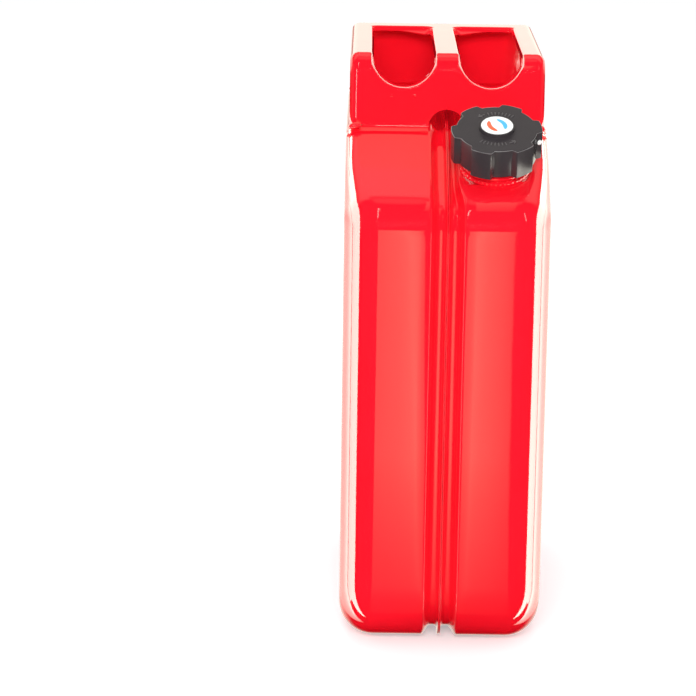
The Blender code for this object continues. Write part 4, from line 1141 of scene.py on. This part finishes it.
def makeMarks():
    # Two curved arrows on the cap's top, one above and one below the badge, each with a row of plain ribs
    # They are paler than the cap: a painted highlight
    circle, pitch = marks["circle"], marks["ribPitch"]
    bars = []
    for middle in (math.pi / 2, 3 * math.pi / 2):
        first = middle - marks["rowShift"] - pitch * (marks["ribs"] - 1) / 2
        bars += [(first + pitch * i, circle, *marks["ribHalf"], math.pi / 2) for i in range(marks["ribs"])]
        shaft = first + pitch * marks["ribs"] + marks["shaftHalf"][0] / circle
        tip = shaft + marks["shaftHalf"][0] / circle
        bars.append((shaft, circle, *marks["shaftHalf"], 0.0))
        for side in (-1, 1):
            half = marks["headHalf"][0]
            back, out = half * math.cos(marks["headTurn"]), half * math.sin(marks["headTurn"])
            place = (tip - back / circle, circle + side * out)
            bars.append((*place, *marks["headHalf"], -side * marks["headTurn"]))
    points, faces = joinGrids([(onCap(grid), False, True) for grid in raisedBars(bars)])
    makePiece(
        "cap_marks", points, faces, plastic["raised marks with painted highlight"], "cap",
        merge=1e-7, sharpAngle=60,
    )


makeMarks()

partingLine = {"radius": 0.00020, "share": 1 - math.cos(math.radians(45)), "sides": 8}


def makePartingLine():
    # A fine round ridge that follows the lobed outline on the rounded edge of the cap's top
    # Its pale colour is partly worn plastic and partly a painted highlight along that edge
    full, angle = capOutline()
    around = np.linspace(0, 2 * math.pi, partingLine["sides"], endpoint=False)[:, None]
    drop = cap["edge"] * partingLine["share"]
    radius = full - drop + partingLine["radius"] * np.cos(around)
    height = cap["height"] - drop + partingLine["radius"] * np.sin(around) + 0 * full
    grid = np.stack([radius * np.cos(angle), radius * np.sin(angle), height], axis=-1)
    points, faces = joinGrids([(onCap(grid), True, True)])
    makePiece(
        "cap_parting_line", points, faces, plastic["worn cap edge and painted highlight"], "cap", sharpAngle=80
    )


makePartingLine()

dot = {
    "radius": 0.0021, "rim": 0.0006, "round": 0.0004, "height": 0.00105, "drop": 0.0090, "crestInset": 0.0005,
}


def makeDot():
    # A shallow domed button on the front flank of the lobe at the cap's right
    pitch = 2 * math.pi / cap["lobes"]
    half = cap["lobeAngle"] / 2
    angles = cap["turn"] - np.array([half + cap["flank"], half])
    radii = np.array([cap["recess"], cap["radius"] - dot["crestInset"]])
    foot, shoulder = np.column_stack([radii * np.cos(angles), radii * np.sin(angles)])
    sideways = unit(shoulder - foot)
    outward = -leftOf(sideways)
    centre = np.array([*((foot + shoulder) / 2 + outward * can["gap"]), cap["height"] - dot["drop"]])
    profile = np.vstack([
        [(0, 0), (dot["radius"], 0), (dot["radius"], dot["rim"])],
        arc((dot["radius"] - dot["round"], dot["rim"]), dot["round"], 0, 90, 4), [(0, dot["height"])],
    ])
    local = turnedGrid(profile, 40)
    axes = np.array([[sideways[0], sideways[1], 0], [0, 0, 1], [outward[0], outward[1], 0]])
    points, faces = joinGrids([(onCap(centre + local @ axes), False, True)])
    makePiece("cap_dot_button", points, faces, plastic["white badge"], "cap", ["cap_dot"])


makeDot()

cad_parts["vent_tube"].data.materials.clear()
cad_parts["vent_tube"].data.materials.append(tubeSteel)
print("neck and cap made")


# Floor, light and camera

studio = {
    "floorHalf": 8.0, "floorColour": (0.72, 0.72, 0.72, 1), "floorGlow": 0.41, "worldLevel": 0.80,
    "mirrorTint": (1, 0.98, 0.85, 1),
}

# What the glossy paint mirrors, by direction: "behind" compares with 1 towards the front and -1 towards
# the back, the heights with 1 straight up. Each edge of a panel is a ramp between two values.
panels = {
    "table": {"behind": (0.45, 0.25), "height": (-0.03, -0.10), "dim": (-0.75, -0.45), "level": 1.0},
    "backdrop": {"behind": (-0.10, -0.50), "height": (-0.05, 0.02), "top": (0.44, 0.30), "level": 1.55},
    "ceiling": {"behind": (0.10, -0.30), "height": (0.50, 0.80), "top": (1.0, 0.93), "level": 0.47},
    "overhead": {"height": (0.975, 1.0), "level": 0.25},
    "walls": {"behind": (0.60, 0.20), "height": (-0.12, 0.05), "top": (0.60, 0.30), "level": 0.15},
}


def cardRows(x, y, z, levels):
    # Both edges of a flat card run from the first x to the second. One is at the first y and z, the other at
    # the second.
    levels = np.broadcast_to(levels, (2, 2))
    return [[(x[j], y[i], z[i], levels[i, j]) for j in (0, 1)] for i in (0, 1)]


# Cards that only mirrored rays see. They glow on one side, and are black or clear on the other: the glow is a
# painted reflection or highlight, and the black sheets are painted shade. Each row is the two ends of a
# straight line as (x, y, z, level), and "across" is a factor at shares of its length.
cards = {
    # The floor's painted reflection, with painted shade where it fades towards the can
    "painted reflection of the table in front": {
        "rows": [
            [(1.20, -8.0, 1.22, 0.96), (-1.15, -8.0, 1.22, 0.96)],
            [(1.10, -8.0, 0.001, 1.02), (-1.05, -8.0, 0.001, 1.02)],
            [(0.134, -0.75, 0.001, 1.02), (-0.134, -0.75, 0.001, 1.02)],
            [(0.062, -0.18, 0.001, 0.07), (-0.062, -0.18, 0.001, 0.07)],
        ],
        "across": (
            (0, 0.47), (0.13, 0.62), (0.23, 0.82), (0.35, 1.02), (0.45, 1.36), (0.48, 1.12), (0.61, 0.90),
            (0.8, 0.74), (1, 0.70),
        ),
        "colour": (1, 0.98, 0.66, 1), "back": "clear",
    },
    "left highlight": {
        "rows": cardRows((-0.24, -0.20), (-1.0, -1.0), (1.05, 2.2), 5),
        "colour": (1, 0.98, 0.90, 1), "back": "clear",
    },
    "right highlight": {
        "rows": cardRows((0.66, 0.72), (-1.0, -1.0), (1.05, 1.7), 5),
        "colour": (1, 0.98, 0.90, 1), "back": "clear",
    },
    "strip beside the plate": {
        "rows": cardRows((-0.097, -0.090), (-0.10, -0.10), (0.428, 0.480), 5),
        "colour": (1, 0.98, 0.90, 1), "back": "clear",
    },
    "plate reflector": {
        "rows": cardRows((0.080, -0.080), (-0.069, -0.0668), (0.413, 0.4785), [[0.44], [0.47]]),
        "colour": (1, 0.98, 0.72, 1), "back": "clear",
    },
    "glow over the right shoulder": {
        "rows": cardRows((0.018, 0.080), (-0.29, -0.155), (0.60, 0.60), [[0.2, 0.1], [0.66, 0.5]]),
        "colour": (1, 0.98, 0.72, 1), "back": "clear",
    },
    "light over the left notch": {
        "rows": cardRows((-0.058, -0.014), (-0.066, -0.036), (0.4768, 0.4768), 6),
        "colour": (1, 0.98, 0.84, 1), "back": "clear",
    },
    "light over the right notch": {
        "rows": cardRows((0.014, 0.058), (-0.066, -0.036), (0.4768, 0.4768), 6),
        "colour": (1, 0.98, 0.84, 1), "back": "clear",
    },
    "shade under the handle": {
        "rows": cardRows((-0.055, 0.055), (-0.050, 0.145), (0.468, 0.468), 0),
        "colour": (1, 1, 1, 1), "back": "black",
    },
    "shade at the rear arch": {
        "rows": cardRows((-0.055, 0.055), (0.1445, 0.1445), (0.405, 0.468), 0),
        "colour": (1, 1, 1, 1), "back": "black",
    },
}

# Three walls beside each front edge, swept along the front and the shoulder: the edge mirrors them white,
# and the broad side doesn't mirror them. A wall's two levels are the inner and the outer one.
# The white that the edges mirror from these glowing walls is a painted highlight
trough = {
    "reach": 0.210, "inside": 0.0832, "mouth": 0.0845, "fullAt": 0.135, "ahead": -0.0020, "slack": 0.0005,
    "outer": 0.80, "low": -0.06, "run": 0.200, "colour": (1, 0.98, 0.86, 1), "left": 1.22, "right": 1.38,
    "levels": {"behind": (1.2, 5.6), "ahead": (7.0, 6.4), "outer": (6.0, 6.0)},
}


def makeFloor():
    # The floor glows for the camera alone, so that it renders white and keeps the can's shadow
    mesh = bpy.data.meshes.new("floor")
    h = studio["floorHalf"]
    mesh.from_pydata([(-h, -h, 0), (h, -h, 0), (h, h, 0), (-h, h, 0)], [], [(0, 1, 2, 3)])
    floor = bpy.data.objects.new("floor", mesh)
    bpy.context.scene.collection.objects.link(floor)
    floor.visible_glossy = False
    material = bpy.data.materials.new("pale floor")
    material.use_nodes = True
    tree = material.node_tree
    shader = tree.nodes["Principled BSDF"]
    shader.inputs["Base Color"].default_value = studio["floorColour"]
    shader.inputs["Roughness"].default_value = 1.0
    shader.inputs["Specular IOR Level"].default_value = 0.0
    shader.inputs["Emission Color"].default_value = (1, 1, 1, 1)
    path = tree.nodes.new("ShaderNodeLightPath")
    seen = addNode(
        tree, "ShaderNodeMath", {"operation": "MAXIMUM"},
        i0=path.outputs["Is Camera Ray"], i1=path.outputs["Is Transmission Ray"],
    )
    glow = addNode(
        tree, "ShaderNodeMath", {"operation": "MULTIPLY"}, i0=seen.outputs[0], i1=studio["floorGlow"]
    )
    tree.links.new(glow.outputs[0], shader.inputs["Emission Strength"])
    floor.data.materials.append(material)


makeFloor()


def makeWorld():
    # Even light for the paint's own colour, white for the camera, and the panels for mirrored rays
    world = bpy.data.worlds.new("studio")
    bpy.context.scene.world = world
    world.use_nodes = True
    tree = world.node_tree
    background = tree.nodes["Background"]
    path = tree.nodes.new("ShaderNodeLightPath")
    direction = tree.nodes.new("ShaderNodeTexCoord").outputs["Generated"]
    xyz = addNode(tree, "ShaderNodeSeparateXYZ", Vector=direction)
    height = xyz.outputs["Z"]

    def ramp(value, edges):
        node = addNode(
            tree, "ShaderNodeMapRange", {"interpolation_type": "SMOOTHSTEP"}, Value=value,
            **{"From Min": min(edges), "From Max": max(edges)},
        )
        if edges[0] > edges[1]:
            node.inputs["To Min"].default_value, node.inputs["To Max"].default_value = 1.0, 0.0
        return node.outputs[0]

    def times(a, b):
        return addNode(tree, "ShaderNodeMath", {"operation": "MULTIPLY"}, i0=a, i1=b).outputs[0]

    flat = addNode(tree, "ShaderNodeCombineXYZ", X=xyz.outputs["X"], Y=xyz.outputs["Y"])
    along = addNode(tree, "ShaderNodeVectorMath", {"operation": "NORMALIZE"}, i0=flat.outputs[0])
    heading = addNode(tree, "ShaderNodeSeparateXYZ", Vector=along.outputs[0]).outputs["Y"]
    ahead = times(heading, -1.0)
    total = None
    for panel in panels.values():
        level = panel["level"]
        for key, value in (("behind", ahead), ("height", height), ("dim", height), ("top", height)):
            if key in panel:
                level = times(ramp(value, panel[key]), level)
        total = level if total is None else addNode(
            tree, "ShaderNodeMath", {"operation": "ADD"}, i0=total, i1=level
        ).outputs[0]
    plain = addNode(
        tree, "ShaderNodeMath", {"operation": "MAXIMUM"},
        i0=path.outputs["Is Camera Ray"], i1=path.outputs["Is Transmission Ray"],
    )
    mirrored = addNode(
        tree, "ShaderNodeMix", Factor=path.outputs["Is Glossy Ray"], A=studio["worldLevel"], B=total
    )
    tint = mixColours(tree, path.outputs["Is Glossy Ray"], (1, 1, 1, 1), studio["mirrorTint"])
    tree.links.new(tint, background.inputs["Color"])
    strength = addNode(tree, "ShaderNodeMix", Factor=plain.outputs[0], A=mirrored.outputs[0], B=1.0)
    tree.links.new(strength.outputs[0], background.inputs["Strength"])


makeWorld()


def makeCard(name, grid, colour, back):
    # A sheet that only mirrored rays see, from a grid of (x, y, z, level)
    rows, columns = grid.shape[:2]
    mesh = bpy.data.meshes.new(name)
    mesh.from_pydata(grid[..., :3].reshape(-1, 3).tolist(), [], gridFaces(rows, columns).tolist())
    mesh.attributes.new("level", "FLOAT", "POINT").data.foreach_set("value", grid[..., 3].ravel())
    card = bpy.data.objects.new(name, mesh)
    bpy.context.scene.collection.objects.link(card)
    card.visible_camera = card.visible_diffuse = card.visible_shadow = False
    card.visible_transmission = False
    material = bpy.data.materials.new(name)
    material.use_nodes = True
    tree = material.node_tree
    shader = tree.nodes["Principled BSDF"]
    shader.inputs["Base Color"].default_value = (0, 0, 0, 1)
    shader.inputs["Specular IOR Level"].default_value = 0.0
    shader.inputs["Emission Color"].default_value = colour
    level = addNode(tree, "ShaderNodeAttribute", {"attribute_name": "level"}).outputs["Fac"]
    behind = tree.nodes.new("ShaderNodeNewGeometry").outputs["Backfacing"]
    facing = addNode(tree, "ShaderNodeMath", {"operation": "SUBTRACT"}, i0=1.0, i1=behind).outputs[0]
    glow = addNode(tree, "ShaderNodeMath", {"operation": "MULTIPLY"}, i0=level, i1=facing)
    tree.links.new(glow.outputs[0], shader.inputs["Emission Strength"])
    if back == "clear":
        tree.links.new(facing, shader.inputs["Alpha"])
    mesh.materials.append(material)


def makeFlatCard(name, card):
    # Straight runs from row to row, and along each row a factor that follows the stops of "across"
    rows = np.asarray(card["rows"], float)
    place = np.linspace(0, len(rows) - 1, 12 * (len(rows) - 1) + 1)
    low = np.minimum(place.astype(int), len(rows) - 2)
    share = (place - low)[:, None, None]
    lines = rows[low] * (1 - share) + rows[low + 1] * share
    across = np.linspace(0, 1, 51)
    grid = lines[:, :1] * (1 - across[:, None]) + lines[:, 1:] * across[:, None]
    if "across" in card:
        grid[..., 3] *= np.interp(across, *zip(*card["across"]))
    makeCard(name, grid, card["colour"], card["back"])


def makeTrough(word, side):
    # Each wall is swept along the outline. Across it, x and the depth under the can's surface run evenly
    # between two ends.
    top = outlineCorners[1] + alongShoulder * trough["run"]
    corners = [(front, trough["low"]), outlineCorners[1], top]
    rail, normals, _ = roundedLine(corners, [0, can["cornerRadii"][1], 0], False, shell["arcStep"], 0.02)
    share = smoothStep(can["blendFront"], can["blendTop"], rail[:, 1])
    edge = can["sideEdge"] + (can["topEdge"] - can["sideEdge"]) * share
    behind, outer, ahead = edge + trough["slack"], edge * trough["outer"], np.full(len(rail), trough["ahead"])
    inside, mouth, reach = trough["inside"], trough["mouth"], trough["reach"]
    walls = [   # name, the two ends as (x, depth), and the x of the inner and the outer level
        ("behind", (inside, behind), (reach, behind), (inside, trough["fullAt"])),
        ("ahead", (reach, ahead), (mouth, ahead), (mouth, reach)),
        ("outer", (reach, outer), (reach, ahead), (mouth, reach)),
    ]
    share = np.linspace(0, 1, 13)[None]
    for wall, here, there, levelAt in walls:
        (firstX, firstDepth), (lastX, lastDepth) = (there, here) if side > 0 else (here, there)
        x = np.broadcast_to(firstX + (lastX - firstX) * share, (len(rail), share.size))
        depth = firstDepth[:, None] * (1 - share) + lastDepth[:, None] * share
        place = rail[:, None] - normals[:, None] * depth[..., None]
        level = trough[word] * np.interp(x, levelAt, trough["levels"][wall])
        grid = np.concatenate([side * x[..., None], place, level[..., None]], axis=2)
        makeCard(f"{word} edge card {wall}", grid, trough["colour"], "black")


for name, card in cards.items():
    makeFlatCard(name, card)
makeTrough("left", -1)
makeTrough("right", 1)


lamps = {
    "overhead softbox": {"place": (-0.3, 0.9, 2.3), "width": 1.6, "height": 1.2, "power": 17.0},
    "fill beside the camera": {"place": (-0.1, -2.4, 1.3), "width": 0.9, "height": 0.6, "power": 46.0},
}
lampTarget = (0, 0, 0.3)


def addSoftBox(name, place, width, height, power):
    light = bpy.data.lights.new(name, "AREA")
    light.shape = "RECTANGLE"
    light.size, light.size_y, light.energy = width, height, power
    lamp = bpy.data.objects.new(name, light)
    bpy.context.scene.collection.objects.link(lamp)
    lamp.location = place
    lamp.rotation_euler = (Vector(lampTarget) - Vector(place)).to_track_quat("-Z", "Y").to_euler()
    lamp.visible_camera = False
    lamp.visible_glossy = False


for name, lamp in lamps.items():
    addSoftBox(name, **lamp)

lens = {
    "focalPixels": 2737.274, "picturePixels": 696, "sensorWidth": 36, "pitch": 0.240786, "yaw": -0.0064057,
    "roll": 0.0137518, "place": (-0.06421, -2.28645, 0.77482),
}


def makeCamera():
    # Yaw turns the view about the vertical, pitch tips it down, and roll turns it about its own line
    pitch, yaw, roll = lens["pitch"], lens["yaw"], lens["roll"]
    forward = Vector((math.sin(yaw) * math.cos(pitch), math.cos(yaw) * math.cos(pitch), -math.sin(pitch)))
    right = Vector((math.cos(yaw), -math.sin(yaw), 0))
    up = right.cross(forward)
    across = right * math.cos(roll) + up * math.sin(roll)
    upward = up * math.cos(roll) - right * math.sin(roll)
    camera = bpy.data.objects.new("camera", bpy.data.cameras.new("camera"))
    camera.data.sensor_width = lens["sensorWidth"]
    camera.data.lens = lens["focalPixels"] / lens["picturePixels"] * lens["sensorWidth"]
    turn = Matrix((across, upward, -forward)).transposed().to_4x4()
    camera.matrix_world = Matrix.Translation(lens["place"]) @ turn
    bpy.context.scene.collection.objects.link(camera)
    bpy.context.scene.camera = camera


makeCamera()
bpy.context.scene.view_settings.view_transform = "Standard"
print("studio made")
